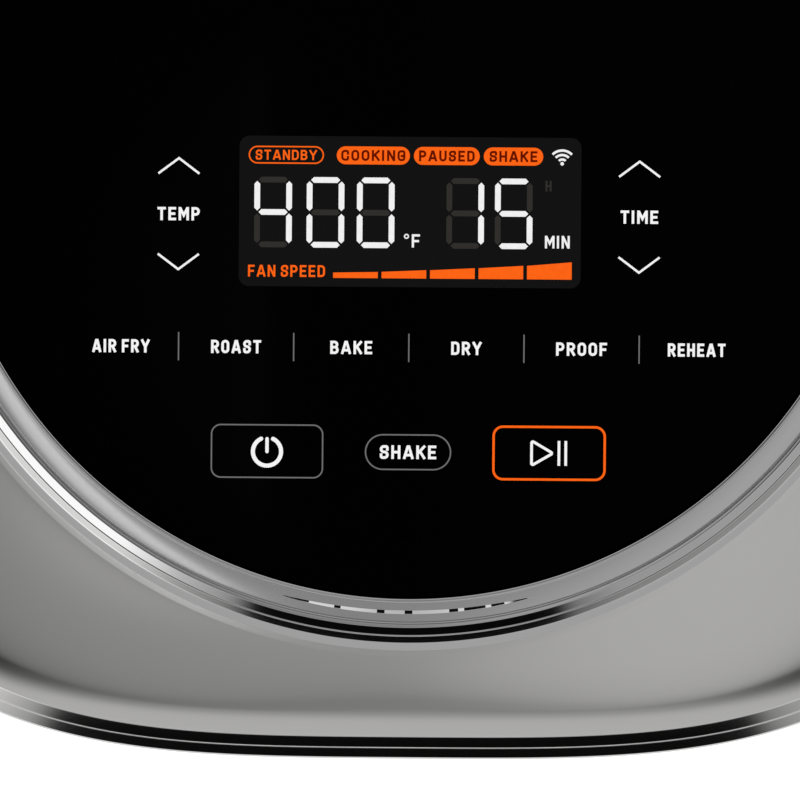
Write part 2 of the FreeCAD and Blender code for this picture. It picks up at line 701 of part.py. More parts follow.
def make_dish():
    roof, top, wall = "chamber_high", "dish_top", "dish_wall"
    body = revolved(
        "dish",
        [("103", roof), ("103", f"{roof} + {wall}"), ("94.4", f"{roof} + {wall}"), ("89.2", top),
         ("7", top), ("7", f"{top} - {wall}"), ("88.2", f"{top} - {wall}"), ("93.2", roof)],
    )
    holes = [cylinder(4.1, 12, f"{s} * tail_x", "tail_y", "dish_top - 5") for s in (-1, 1)]
    holes.append(cylinder(2.1, 12, -79, 0, "dish_top - 5"))
    keep(cut(body, *holes), "heat_reflector")
    beads = []
    for x in ("-tail_x", "tail_x"):
        bore = cylinder("tube_radius + 0.2", 9, x, "tail_y", "dish_top - 2")
        beads.append(cut(cylinder(6.5, 3.5, x, "tail_y", "dish_top"), bore))
    keep(group(*beads), "element_insulators")
    keep(cut(cylinder(62, 4, 0, 0, "dish_top"), cylinder(14, 9, 0, 0, "dish_top - 2")), "insulation_pad")
    keep(fuse(cylinder(2, 26, -79, 0, "dish_top - 19"), cylinder(4, 2, -79, 0, "dish_top")), "air_sensor")
    cutout = fuse(cylinder(8, 3.4, 0, -76, "dish_top"), box((-3, -86, "dish_top"), (3, -66, "dish_top + 1")))
    keep(cutout, "thermal_cutout")


def make_element():
    """A tubular coil of three passes, ends turned up through the reflector."""
    z, pitch, outer = size("element_z"), size("coil_pitch"), size("coil_outer")

    def at(radius, angle, height=z):
        return Vector(radius * math.cos(math.radians(angle)), radius * math.sin(math.radians(angle)), height)

    def sweep(radius, start, end):
        middle = (start + end) / 2
        edges = []
        for a, b in ((start, middle), (middle, end)):
            edges.append(Part.Arc(at(radius, a), at(radius, (a + b) / 2), at(radius, b)).toShape())
        return edges

    def turn(angle, radius, ahead):
        """A half-circle inward from radius to radius - pitch, bulging ahead."""
        centre = at(radius - pitch / 2, angle)
        tangent = Vector(-math.sin(math.radians(angle)), math.cos(math.radians(angle)), 0)
        crown = centre + tangent * (ahead * pitch / 2)
        return Part.Arc(at(radius, angle), crown, at(radius - pitch, angle)).toShape()

    entry, exit_angle = 75, 110 - 360
    tangent_in = Vector(math.sin(math.radians(entry)), -math.cos(math.radians(entry)), 0)
    foot = at(outer, entry) - tangent_in * 9
    lead = bend_path([Vector(foot.x, foot.y, size("tail_top")), foot, at(outer, entry)])
    tangent_out = Vector(math.sin(math.radians(exit_angle)), -math.cos(math.radians(exit_angle)), 0)
    inner = outer - 2 * pitch
    last = at(inner, exit_angle)
    tail = bend_path([
        last, last + tangent_out * 10, Vector(-foot.x, foot.y, z), Vector(-foot.x, foot.y, size("tail_top")),
    ])
    edges = lead + sweep(outer, entry, -215) + [turn(-215, outer, -1)] + sweep(outer - pitch, -215, 62)
    edges += [turn(62, outer - pitch, 1)] + sweep(inner, 62, exit_angle) + tail
    spine = Part.Wire(edges)
    start = Vector(foot.x, foot.y, size("tail_top"))
    profile = Part.Wire(Part.makeCircle(size("tube_radius"), start, Vector(0, 0, 1)))
    keep(feature(spine.makePipeShell([profile], True, False), "coil"), "heating_element")


def make_guard():
    """Rings of wire under the fan and element, hung from the roof on three hooks."""
    z, radius = "guard_z", "wire_radius"
    wires = []
    for ring in (22, 40, 58, 76, 92):
        torus = bind(doc.addObject("Part::Torus", "ring"), Radius1=ring, Radius2=radius)
        wires.append(place(torus, 0, 0, z))
    for n in range(3):
        angle = math.radians(30 + 120 * n)
        reach = 99
        end = Vector(reach * math.cos(angle), reach * math.sin(angle), size("guard_z"))
        start = Vector(21 * math.cos(angle), 21 * math.sin(angle), size("guard_z"))
        top = Vector(end.x, end.y, size("chamber_high") - size("wall"))
        path = Part.Wire(bend_path([start, end, top]))
        profile = Part.Wire(Part.makeCircle(size("wire_radius"), start, end - start))
        wires.append(feature(path.makePipeShell([profile], True, False), "hook"))
    keep(fuse(*wires), "element_guard")


def blades(count, inner, outer, low, high, pitch_angle, thick):
    """Flat blades set at an angle about their own length, one solid."""
    tall = (high - low) / math.cos(math.radians(pitch_angle))
    made = []
    for n in range(count):
        blade = Part.makeBox(outer - inner, thick, tall, Vector(inner, -thick / 2, -tall / 2))
        blade.rotate(Vector(), Vector(1, 0, 0), pitch_angle)
        blade.translate(Vector(0, 0, (low + high) / 2))
        blade.rotate(Vector(), Vector(0, 0, 1), 360 * n / count)
        made.append(blade)
    return made


def make_fan():
    low, high = size("fan_low"), size("fan_high")
    hub = Part.makeCylinder(size("hub_radius"), high - low, Vector(0, 0, low))
    web = Part.makeCylinder(34, 1.2, Vector(0, 0, high - 1.2))
    fan = hub.fuse([web] + blades(12, 7, size("fan_radius"), low, high, 28, 1.2))
    limits = Part.makeCylinder(size("fan_radius"), high - low, Vector(0, 0, low))
    bore = Part.makeCylinder(size("shaft_radius"), 60, Vector(0, 0, low - 10))
    keep(feature(fan.common(limits).cut(bore), "fan"), "convection_fan")

    low, high = size("cooler_low"), size("cooler_high")
    hub = Part.makeCylinder(size("hub_radius") + 3, high - low, Vector(0, 0, low))
    cooler = hub.fuse(blades(9, 9, size("cooler_radius"), low, high, 32, 1.4))
    limits = Part.makeCylinder(size("cooler_radius"), high - low, Vector(0, 0, low))
    bore = Part.makeCylinder(size("shaft_radius"), 60, Vector(0, 0, low - 10))
    keep(feature(cooler.common(limits).cut(bore), "cooler"), "cooling_fan")

    nut = cylinder(5.5, 4, 0, 0, "fan_low - 4")
    keep(cut(nut, cylinder("shaft_radius", 10, 0, 0, "fan_low - 6")), "fan_nut")
    keep(cylinder("shaft_radius", "shaft_high - shaft_low", 0, 0, "shaft_low"), "motor_shaft")
    rotor = cylinder(20, 20, 0, 0, "motor_low + 6")
    keep(cut(rotor, cylinder("shaft_radius", 30, 0, 0, "motor_low")), "motor_rotor")


LEG_SPOTS = [
    (f"{math.cos(math.radians(a)):.5f} * leg_reach", f"{math.sin(math.radians(a)):.5f} * leg_reach")
    for a in (45, 135, 225, 315)
]


def make_motor():
    low, high, wall = "motor_low", "motor_high", "case_wall"
    can = cylinder("motor_radius", f"{high} - {low}", 0, 0, low)
    hollow = cylinder(f"motor_radius - {wall}", f"{high} - {low} - 2 * {wall}", 0, 0, f"{low} + {wall}")
    bore = cylinder("shaft_radius + running", 60, 0, 0, "motor_low - 10")
    windows = [box((-50, -9, f"{low} + 9"), (50, 9, f"{high} - 9"))]
    keep(cut(can, hollow, bore, *windows), "motor_case")
    coil = cylinder(f"motor_radius - {wall} - 0.1", 14, 0, 0, f"{low} + 9")
    keep(cut(coil, cylinder(21, 30, 0, 0, low)), "motor_windings")
    bracket = cylinder(69, 2, 0, 0, "motor_low - 2")
    slots = [cylinder(12, 9, x, y, "motor_low - 5") for x, y in ((48, 0), (-48, 0), (0, 48), (0, -48))]
    bores = [cylinder("screw_radius + 0.1", 9, x, y, "motor_low - 5") for x, y in LEG_SPOTS]
    centre = cylinder(8, 9, 0, 0, "motor_low - 5")
    keep(cut(bracket, centre, *slots, *bores), "motor_bracket")
    legs, screws = [], []
    top, under = "motor_low - 2", "deck_low + deck_thick"
    for x, y in LEG_SPOTS:
        leg = cylinder("leg_radius", f"{top} - ({under})", x, y, under)
        legs.append(cut(leg, cylinder("screw_radius", 30, x, y, "deck_low")))
        shank = cylinder("screw_radius", 9, x, y, "motor_low - 9")
        screws.append(fuse(shank, cylinder(3.2, 1.8, x, y, "motor_low")))
    keep(group(*legs), "motor_mounts")
    keep(group(*screws), "motor_screws")


def make_deck():
    sheet_form = Part.Face(ring_wire(size("deck_half"), size("deck_low")))
    form = sheet_form.extrude(Vector(0, 0, size("deck_thick")))
    holes = [cylinder(6, 9, 0, 0, "deck_low - 3"), cylinder(3.2, 9, -79, 0, "deck_low - 3")]
    holes += [cylinder(6.5, 9, f"{s} * tail_x", "tail_y", "deck_low - 3") for s in (-1, 1)]
    holes += [cylinder("screw_radius + 0.1", 9, x, y, "deck_low - 3") for x, y in TIE_SPOTS]
    for n in range(-4, 5):
        holes.append(box((12 * n - 3, 104, "deck_low - 3"), (12 * n + 3, 126, "deck_low + 5")))
    keep(cut(feature(form, "deck_form"), *holes), "motor_deck")
    ties, screws = [], []
    for x, y in TIE_SPOTS:
        tie = cylinder("tie_radius", "deck_low - foot_height - 9", x, y, "foot_height + 9")
        ties.append(cut(tie, cylinder("screw_radius", 30, x, y, "deck_low - 12")))
        shank = cylinder("screw_radius", 12, x, y, "deck_low - 9")
        screws.append(fuse(shank, cylinder(3.2, 1.8, x, y, "deck_low + deck_thick")))
    keep(group(*ties), "tie_rods")
    keep(group(*screws), "deck_screws")


def make_electronics():
    low = "deck_low + deck_thick + 6"
    card = box((76, -52, low), (128, 52, f"{low} + 1.6"))
    top = f"{low} + 1.5"
    pieces = [card]
    pieces.append(box((82, -44, top), (104, -20, f"{top} + 20")))
    pieces.append(cylinder(8, 22, 116, -34, top))
    pieces.append(box((84, -8, top), (102, 8, f"{top} + 14")))
    pieces.append(box((110, -10, top), (122, 14, f"{top} + 11")))
    pieces.append(box((82, 20, top), (86, 46, f"{top} + 16")))
    for x in (81, 123):
        for y in (-47, 47):
            pieces.append(cylinder(2.5, f"{low} - deck_low - deck_thick", x, y, "deck_low + deck_thick"))
    keep(fuse(*pieces), "power_board")
    keep(cylinder(6, 6, 30, 42, "board_low - 6"), "buzzer")
    radio = fuse(
        box((-52, 34, "board_low - 1"), (-28, 50, "board_low")),
        box((-49, 37, "board_low - 3"), (-35, 47, "board_low - 1")),
    )
    keep(radio, "radio_module")
    start = size("deck_low") + size("deck_thick") + 7.6
    path = [(96, 12, start), (96, 12, 268), (62, 10, 274), (60, 0, 283), (60, 0, size("board_low"))]
    points = [Vector(*p) for p in path]
    spine = Part.Wire(bend_path(points))
    profile = Part.Wire(Part.makeCircle(2.2, points[0], Vector(0, 0, 1)))
    keep(feature(spine.makePipeShell([profile], True, False), "loom"), "panel_cable")


# ---------------------------------------------------------------- build and export

for make in (
    make_feet, make_base, make_shell, make_cover, make_rear_cover, make_gland, make_duct,
    make_glass, make_bezel, make_control, make_drawer_front, make_handle, make_gasket,
    make_basket, make_crisper, make_chamber, make_switch, make_dish, make_element, make_guard,
    make_fan, make_motor, make_deck, make_electronics,
):
    make()
doc.recompute()

os.makedirs("parts", exist_ok=True)
faulty = [o.Label for o in doc.Objects if "Invalid" in o.State or "Error" in o.State]
if faulty:
    raise SystemExit(f"faulty objects: {faulty}")
for part in PARTS:
    if part.Shape.isNull() or not part.Shape.isValid() or not part.Shape.Solids:
        raise SystemExit(f"bad shape: {part.Label}")
    part.Shape.exportStep(f"parts/{part.Label}.step")
print(len(PARTS), "sub-parts written")
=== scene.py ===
"""Looks of the air fryer: a satin metal body, a polished ring and a black glass touch panel."""
import json
import math

import bmesh
import bpy
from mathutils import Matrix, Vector


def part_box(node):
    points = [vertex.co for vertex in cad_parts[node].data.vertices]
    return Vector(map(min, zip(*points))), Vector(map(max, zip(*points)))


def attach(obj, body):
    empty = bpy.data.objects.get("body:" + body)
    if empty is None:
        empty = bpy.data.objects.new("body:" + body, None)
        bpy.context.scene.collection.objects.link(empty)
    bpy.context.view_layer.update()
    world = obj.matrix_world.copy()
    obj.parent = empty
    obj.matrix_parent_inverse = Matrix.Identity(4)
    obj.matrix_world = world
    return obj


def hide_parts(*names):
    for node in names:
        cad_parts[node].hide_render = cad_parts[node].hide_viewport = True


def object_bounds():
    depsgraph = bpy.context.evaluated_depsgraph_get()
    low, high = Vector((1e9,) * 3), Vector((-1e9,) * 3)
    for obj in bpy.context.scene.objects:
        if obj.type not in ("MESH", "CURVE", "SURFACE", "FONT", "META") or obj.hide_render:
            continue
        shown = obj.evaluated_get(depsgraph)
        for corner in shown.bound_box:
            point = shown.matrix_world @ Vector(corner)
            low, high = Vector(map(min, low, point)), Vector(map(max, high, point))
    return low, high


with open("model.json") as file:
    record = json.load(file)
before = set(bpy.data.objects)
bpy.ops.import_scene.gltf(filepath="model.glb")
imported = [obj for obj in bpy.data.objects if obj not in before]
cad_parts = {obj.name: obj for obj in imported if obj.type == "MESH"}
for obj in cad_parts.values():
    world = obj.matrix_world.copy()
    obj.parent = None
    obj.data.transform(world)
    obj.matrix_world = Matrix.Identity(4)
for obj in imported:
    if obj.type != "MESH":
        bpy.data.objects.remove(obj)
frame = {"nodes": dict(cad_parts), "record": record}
CAD_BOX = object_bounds()
NODES = frame["nodes"]
MM = 0.001

# The plan of the body: |x/half|^PLAN_POWER + |y/half|^PLAN_POWER = 1.
PLAN_POWER = 3.48
BODY_HALF = CAD_BOX[1].x
FOOT_HALF = BODY_HALF - 6.5 * MM
UPRIGHT_FROM = 258.2 * MM
SEAM_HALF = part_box("top_cover")[1].x
GLASS_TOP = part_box("control_glass")[1].z
GLASS_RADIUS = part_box("control_glass")[1].x
RING_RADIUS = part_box("bezel_ring")[1].x
RING_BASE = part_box("top_cover")[1].z
SHELL_NODES = [name for name in NODES if name.startswith("shell_")]
SHELL_LOW = min(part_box(name)[0].z for name in SHELL_NODES)
SHELL_TOP = max(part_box(name)[1].z for name in SHELL_NODES)
WIDEN_POWER = 1.7  # how quickly the body narrows below UPRIGHT_FROM
BRIM_SLOPES = (2.5, 24.5)  # degrees at the ring and at the edge
SHELL_WALL = 1.2 * MM
COVER_WALL = 1.1 * MM
SKIN = 1.5 * MM


# ---------------------------------------------------------------- materials


def new_material(name):
    material = bpy.data.materials.new(name)
    material.use_nodes = True
    return material, material.node_tree, material.node_tree.nodes["Principled BSDF"]


def add_node(tree, kind, **settings):
    node = tree.nodes.new(kind)
    for key, value in settings.items():
        if hasattr(node, key):
            setattr(node, key, value)
        else:
            node.inputs[key.replace("_", " ")].default_value = value
    return node


def link(tree, start, end):
    tree.links.new(start, end)


def object_noise(tree, scale, detail=2.0, stretch=(1, 1, 1)):
    """Noise fixed to the object's own coordinates; stretch pulls it into grain."""
    place = add_node(tree, "ShaderNodeTexCoord")
    mapping = add_node(tree, "ShaderNodeMapping")
    mapping.inputs["Scale"].default_value = stretch
    noise = add_node(tree, "ShaderNodeTexNoise", Scale=scale, Detail=detail)
    link(tree, place.outputs["Object"], mapping.inputs["Vector"])
    link(tree, mapping.outputs["Vector"], noise.inputs["Vector"])
    return noise


def span(tree, source, low, high):
    """Maps 0..1 to low..high."""
    node = add_node(tree, "ShaderNodeMapRange")
    node.inputs["To Min"].default_value = low
    node.inputs["To Max"].default_value = high
    link(tree, source, node.inputs["Value"])
    return node.outputs["Result"]


def tint(tree, source, dark, light):
    """Blends from one colour to the other over the middle of the source's range."""
    ramp = add_node(tree, "ShaderNodeValToRGB")
    ramp.color_ramp.elements[0].position = 0.3
    ramp.color_ramp.elements[0].color = (*dark, 1)
    ramp.color_ramp.elements[1].position = 0.7
    ramp.color_ramp.elements[1].color = (*light, 1)
    link(tree, source, ramp.inputs["Fac"])
    return ramp.outputs["Color"]


def bump(tree, shader, source, strength, distance):
    node = add_node(tree, "ShaderNodeBump", Strength=strength, Distance=distance)
    link(tree, source, node.inputs["Height"])
    link(tree, node.outputs["Normal"], shader.inputs["Normal"])


def surface(name, color, metallic, rough, grain=400, bumpy=0.02, vary=0.06, stretch=(1, 1, 1), **more):
    """A procedural finish: colour and roughness vary over two scales of noise, with fine bump."""
    material, tree, shader = new_material(name)
    fine = object_noise(tree, grain, 3.0, stretch)
    broad = object_noise(tree, 9.0, 2.0)
    dark = tuple(c * (1 - vary) for c in color)
    light = tuple(min(1.0, c * (1 + vary)) for c in color)
    link(tree, tint(tree, broad.outputs["Fac"], dark, light), shader.inputs["Base Color"])
    link(tree, span(tree, fine.outputs["Fac"], rough * 0.85, rough * 1.15), shader.inputs["Roughness"])
    shader.inputs["Metallic"].default_value = metallic
    if bumpy:
        bump(tree, shader, fine.outputs["Fac"], bumpy, 0.0005)
    for socket, value in more.items():
        shader.inputs[socket.replace("_", " ")].default_value = value
    return material


def glow(name, color, strength=1.0):
    """Emission that shines and stays matt: a lit legend, or a painted glow on a part that is no lamp."""
    material, tree, shader = new_material(name)
    noise = object_noise(tree, 900.0)
    dark = tuple(c * 0.94 for c in color)
    shade = tint(tree, noise.outputs["Fac"], dark, color)
    link(tree, shade, shader.inputs["Emission Color"])
    shader.inputs["Base Color"].default_value = (0, 0, 0, 1)
    shader.inputs["Emission Strength"].default_value = strength
    shader.inputs["Roughness"].default_value = 0.9
    shader.inputs["Specular IOR Level"].default_value = 0.0
    return material


SATIN = surface("satin_nickel", (0.60, 0.597, 0.59), 1.0, 0.12, grain=1500, bumpy=0.0, vary=0.01)
RING = surface("polished_ring", (0.50, 0.50, 0.50), 1.0, 0.09, grain=900, bumpy=0.0, vary=0.01)
GLASS = surface(
    "black_glass", (0.0002, 0.0002, 0.0002), 0.0, 0.05,
    grain=60, bumpy=0.0, vary=0.2, Specular_IOR_Level=0.01,
)
# A near-white copy of the ring's metal: a painted highlight along the crescent.
CRESCENT_PAINTED_HIGHLIGHT = surface("painted_highlight_facets", (0.97, 0.97, 0.97), 1.0, 0.12, grain=900, bumpy=0.0, vary=0.01)
# Black with almost no shine: painted dark reflections on the crescent's facets.
CRESCENT_PAINTED_DARK_REFLECTION = surface(
    "painted_dark_reflection", (0.002, 0.002, 0.002), 0.0, 0.2, grain=300, bumpy=0.0, Specular_IOR_Level=0.05
)
BLACK = surface("black_plastic", (0.018, 0.018, 0.019), 0.0, 0.42, grain=1600, bumpy=0.18)
POCKET = surface("pocket_plastic", (0.012, 0.012, 0.013), 0.0, 0.5, grain=1400, bumpy=0.2)
RUBBER = surface("foot_rubber", (0.02, 0.02, 0.02), 0.0, 0.75, grain=1200, bumpy=0.25)
SILICONE = surface("silicone", (0.06, 0.06, 0.065), 0.0, 0.55, grain=700, bumpy=0.08)
NONSTICK = surface("nonstick", (0.028, 0.028, 0.03), 0.0, 0.33, grain=2600, bumpy=0.22, vary=0.15)
STEEL = surface("inner_steel", (0.52, 0.52, 0.53), 1.0, 0.32, grain=260, bumpy=0.05, stretch=(1, 12, 1))
BRIGHT = surface("bright_steel", (0.68, 0.68, 0.68), 1.0, 0.2, grain=500, bumpy=0.03)
ELEMENT = surface("element_steel", (0.12, 0.11, 0.10), 0.9, 0.48, grain=500, bumpy=0.15, vary=0.3)
ZINC = surface("zinc_screw", (0.58, 0.58, 0.57), 1.0, 0.3, grain=900, bumpy=0.05)
BOARD = surface("circuit_board", (0.015, 0.13, 0.05), 0.0, 0.35, grain=420, bumpy=0.12, vary=0.25)
DISPLAY = surface("display_plastic", (0.015, 0.015, 0.016), 0.0, 0.25, grain=600, bumpy=0.04)
WHITE = surface("white_plastic", (0.74, 0.73, 0.70), 0.0, 0.45, grain=800, bumpy=0.05)
BLANKET = surface("blanket", (0.72, 0.71, 0.67), 0.0, 0.95, grain=900, bumpy=0.9, vary=0.1)
COPPER = surface("copper_wire", (0.72, 0.36, 0.18), 1.0, 0.3, grain=1800, bumpy=0.4, stretch=(1, 1, 14))
SHEATH = surface("cable_sheath", (0.30, 0.30, 0.31), 0.0, 0.5, grain=900, bumpy=0.1)

# The display window's near-black tone is a faint painted glow.
WINDOW_PAINTED_GLOW = glow("display_window_painted_glow", (0.0068, 0.0068, 0.0070))
LIT_WHITE = glow("lit_white", (0.90, 0.90, 0.90))
# The printed white legends and the printed grey key outlines are given a painted glow.
PRINT_WHITE_PAINTED_GLOW = glow("print_white_painted_glow", (0.93, 0.93, 0.93))
PRINT_GREY_PAINTED_GLOW = glow("print_grey_painted_glow", (0.16, 0.16, 0.165))
# The unlit segments are given a painted glow.
UNLIT_PAINTED_GLOW = glow("unlit_segment_painted_glow", (0.031, 0.029, 0.026))
ORANGE = glow("lit_orange", (1.0, 0.13, 0.008))
DARK_RED = glow("pill_lettering", (0.13, 0.006, 0.0))

SLOT_FINISH = {
    "satin_metal": SATIN, "polished_ring": RING, "handle_metal": SATIN, "panel_glass": GLASS,
    "base_plastic": BLACK, "pocket_plastic": POCKET, "foot_rubber": RUBBER, "silicone": SILICONE,
    "nonstick": NONSTICK, "inner_steel": STEEL, "bright_steel": BRIGHT, "element_steel": ELEMENT,
    "screw_steel": ZINC, "circuit_board": BOARD, "display_black": DISPLAY, "white_plastic": WHITE,
    "blanket": BLANKET, "copper": COPPER, "cable_sheath": SHEATH,
}


def finish_cad_nodes():
    for entry in frame["record"]["subparts"]:
        node = NODES[entry["node"]]
        node.data.materials.clear()
        node.data.materials.append(SLOT_FINISH[entry["material_slot"]])


# ---------------------------------------------------------------- mesh helpers


def make_object(name, bm, material, smooth):
    """An object made from bm; edges that turn less than smooth degrees are shaded smooth, 0 for none."""
    mesh = bpy.data.meshes.new(name)
    bmesh.ops.recalc_face_normals(bm, faces=bm.faces)
    bm.to_mesh(mesh)
    bm.free()
    obj = bpy.data.objects.new(name, mesh)
    bpy.context.scene.collection.objects.link(obj)
    mesh.materials.append(material)
    if smooth:
        mesh.shade_smooth()
        mesh.set_sharp_from_angle(angle=math.radians(smooth))
    return obj


def finish_piece(obj, body, slot, *replaced):
    """Says which body the piece rides on and the CAD nodes it stands in for; the slot argument is not used.
    """
    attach(obj, body)
    if replaced:
        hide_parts(*replaced)


def carve(obj, cutters, bevel):
    """Cuts the cutters out of obj, rounds its sharp edges and drops the cutters."""
    for tool in cutters:
        modifier = obj.modifiers.new("cut", "BOOLEAN")
        modifier.operation = "DIFFERENCE"
        modifier.object = tool
        modifier.solver = "EXACT"
    rounding = obj.modifiers.new("bevel", "BEVEL")
    rounding.width = bevel
    rounding.segments = 3
    rounding.limit_method = "ANGLE"
    rounding.angle_limit = math.radians(50)
    rounding.use_clamp_overlap = True
    depsgraph = bpy.context.evaluated_depsgraph_get()
    mesh = bpy.data.meshes.new_from_object(obj.evaluated_get(depsgraph))
    obj.modifiers.clear()
    obj.data = mesh
    mesh.shade_smooth()
    mesh.set_sharp_from_angle(angle=math.radians(40))
    for tool in cutters:
        bpy.data.objects.remove(tool)


def soften(points, steps=6):
    """Rounds a profile: each point is (values..., reach), and reach is how far its rounding goes."""
    found = []
    for n, point in enumerate(points):
        here, reach = point[:-1], point[-1]
        if reach == 0 or n in (0, len(points) - 1):
            found.append(here)
            continue
        ends = []
        for other in (points[n - 1][:-1], points[n + 1][:-1]):
            length = math.dist(here[:2], other[:2])
            share = min(0.5, reach / length)
            ends.append([a + (b - a) * share for a, b in zip(here, other)])
        for step in range(steps + 1):
            t = step / steps
            found.append(tuple(
                (1 - t) ** 2 * a + 2 * t * (1 - t) * corner + t * t * b
                for a, corner, b in zip(ends[0], here, ends[1])
            ))
    return found


def plan_reach(angle):
    """The superellipse's radius for a half-size of 1."""
    across, along = abs(math.cos(angle)), abs(math.sin(angle))
    return (across ** PLAN_POWER + along ** PLAN_POWER) ** (-1 / PLAN_POWER)


def plan_radius(half, share, angle):
    """share 0 is a circle, 1 the full superellipse."""
    return half * (1 + share * (plan_reach(angle) - 1))


def rings(bm, levels, count, closed=False):
    """Quads through levels of (half, z, share) all round; returns the rows of vertices."""
    rows = []
    for half, z, share in levels:
        row = []
        for n in range(count):
            angle = 2 * math.pi * n / count
            radius = plan_radius(half, share, angle)
            row.append(bm.verts.new((radius * math.cos(angle), radius * math.sin(angle), z)))
        rows.append(row)
    pairs = list(zip(rows, rows[1:]))
    if closed:
        pairs.append((rows[-1], rows[0]))
    for low, high in pairs:
        for n in range(count):
            m = (n + 1) % count
            bm.faces.new((low[n], low[m], high[m], high[n]))
    return rows


def tube(bm, rows):
    """Walls between rows of vertices, each row a loop, and a cap at both ends."""
    for first, second in zip(rows, rows[1:]):
        for n in range(len(first)):
            m = (n + 1) % len(first)
            bm.faces.new((first[n], first[m], second[m], second[n]))
    bm.faces.new(rows[0])
    bm.faces.new(rows[-1])


def round_outline(cx, cy, half_x, half_y, radius, steps=10):
    """Points round a rectangle with rounded corners."""
    points = []
    for quarter, (a, b) in enumerate(((1, 1), (-1, 1), (-1, -1), (1, -1))):
        for step in range(steps + 1):
            angle = math.pi / 2 * (quarter + step / steps)
            points.append((
                cx + a * (half_x - radius) + radius * math.cos(angle),
                cy + b * (half_y - radius) + radius * math.sin(angle),
            ))
    return points


def cutter(name, low, high, start, end, radius):
    """A block from start to end along y that spans x and z from low to high, with rounded corners."""
    outline = round_outline(
        (low.x + high.x) / 2, (low.z + high.z) / 2, (high.x - low.x) / 2, (high.z - low.z) / 2, radius
    )
    bm = bmesh.new()
    tube(bm, [[bm.verts.new((x, y, z)) for x, z in outline] for y in (start, end)])
    return make_object(name, bm, BLACK, 0)


def opening(node, gap):
    """A CAD node's box grown by a gap on each side."""
    low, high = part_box(node)
    grown = Vector((gap, gap, gap))
    return low - grown, high + grown


# ---------------------------------------------------------------- top cover, ring and glass


def build_cover():
    """An upright edge and a tight round, then a brim that steepens from the ring to the edge."""
    top, seam = RING_BASE, SEAM_HALF
    outer = soften([
        (seam, top - 17.0 * MM, 1, 0), (seam, top - 7.1 * MM, 1, 0.4 * MM),
        (seam - 0.35 * MM, top - 6.5 * MM, 1, 0.3 * MM), (seam - 2.7 * MM, top - 4.1 * MM, 1, 0),
    ], 8)
    start, end = RING_RADIUS + 1.2 * MM, seam - 2.7 * MM
    crown, steps, z = [], 60, top
    for n in range(steps + 1):
        share = n / steps
        slope = BRIM_SLOPES[0] + (BRIM_SLOPES[1] - BRIM_SLOPES[0]) * share ** 1.5
        squared = min(1.0, share / 0.7)  # the plan is square with round corners from here out
        crown.append((start + (end - start) * share, z, squared * squared * (3 - 2 * squared)))
        z -= math.tan(math.radians(slope)) * (end - start) / steps
    outer = outer[:-1] + crown[::-1] + [(RING_RADIUS - 6 * MM, top, 0)]
    inner = [(half - COVER_WALL, z - COVER_WALL, share) for half, z, share in reversed(outer)]
    bm = bmesh.new()
    rings(bm, outer + inner, 720, closed=True)
    cover = make_object("top_cover_skin", bm, SATIN, 40)
    finish_piece(cover, "housing", "satin_metal", "top_cover")


# The ring's section from the glass out, in mm from the glass's edge and top, then how far each corner
# is rounded: lip, land, groove, narrow band, two steep steps, a flare down to the cover and the underside.
RING_SECTION = (
    (0.10, -5.4, 0), (0.10, 0.08, 0.1), (0.30, 0.42, 0.15), (0.80, 0.60, 0.2), (1.15, 0.40, 0.1),
    (1.40, 0.40, 0.08), (5.50, 0.52, 0.12), (5.75, 0.15, 0.08), (6.05, 0.05, 0.08),
    (6.25, 0.42, 0.1), (6.95, 0.34, 0.15), (7.25, 0.05, 0.15), (8.80, -1.58, 0.1), (9.10, -1.66, 0.06),
    (9.22, -1.72, 0.06), (10.15, -2.97, 0.1), (10.60, -3.58, 0.15), (11.30, -3.92, 0.3), (12.10, -4.28, 0.3),
    (12.70, -4.55, 0.02), (12.70, -4.72, 0), (5.6, -4.72, 0), (5.6, -5.4, 0),
)


def build_ring():
    profile = soften([
        (GLASS_RADIUS + out * MM, GLASS_TOP + up * MM, reach * MM) for out, up, reach in RING_SECTION
    ], 4)
    bm = bmesh.new()
    rings(bm, [(radius, z, 0.0) for radius, z in profile], 1080, closed=True)
    ring = make_object("ring_polished", bm, RING, 30)
    finish_piece(ring, "housing", "polished_ring", "bezel_ring")


CRESCENT_RADIUS = 113.8 * MM
CRESCENT_ENDS = (-29.3, 29.3)
# Where the dark facets of the crescent, which are painted dark reflections, begin and end, in mm to the
# right of the middle.
PAINTED_DARK_REFLECTIONS = (
    (-29.2, -28.0), (-26.1, -22.9), (-17.0, -15.5), (-7.0, -5.2), (-0.5, 1.3), (9.9, 12.0), (13.4, 18.4),
    (19.7, 22.8),
)


def crescent_strip(bm, start, end, widest, shift, low, rise):
    """A strip along the crescent from start to end, thinner to the ends, that falls outward.

    start, end and widest are in mm; shift moves it out from CRESCENT_RADIUS, and it falls from
    low + rise on its inner edge to low on its outer edge.
    """
    thick = 0.3 * MM
    steps = max(4, int((end - start) / 0.5))
    rows = []
    for n in range(steps + 1):
        across = start + (end - start) * n / steps
        share = max(0.0, 1 - (across / CRESCENT_ENDS[1]) ** 2)
        half = widest / 2 * MM * max(0.12, share ** 0.6)
        angle = math.asin(across * MM / CRESCENT_RADIUS)
        inner, outer = CRESCENT_RADIUS + shift - half, CRESCENT_RADIUS + shift + half
        section = ((inner, low + rise), (outer, low), (outer, low - thick), (inner, low - thick))
        rows.append([
            bm.verts.new((radius * math.sin(angle), -radius * math.cos(angle), z)) for radius, z in section
        ])
    tube(bm, rows)


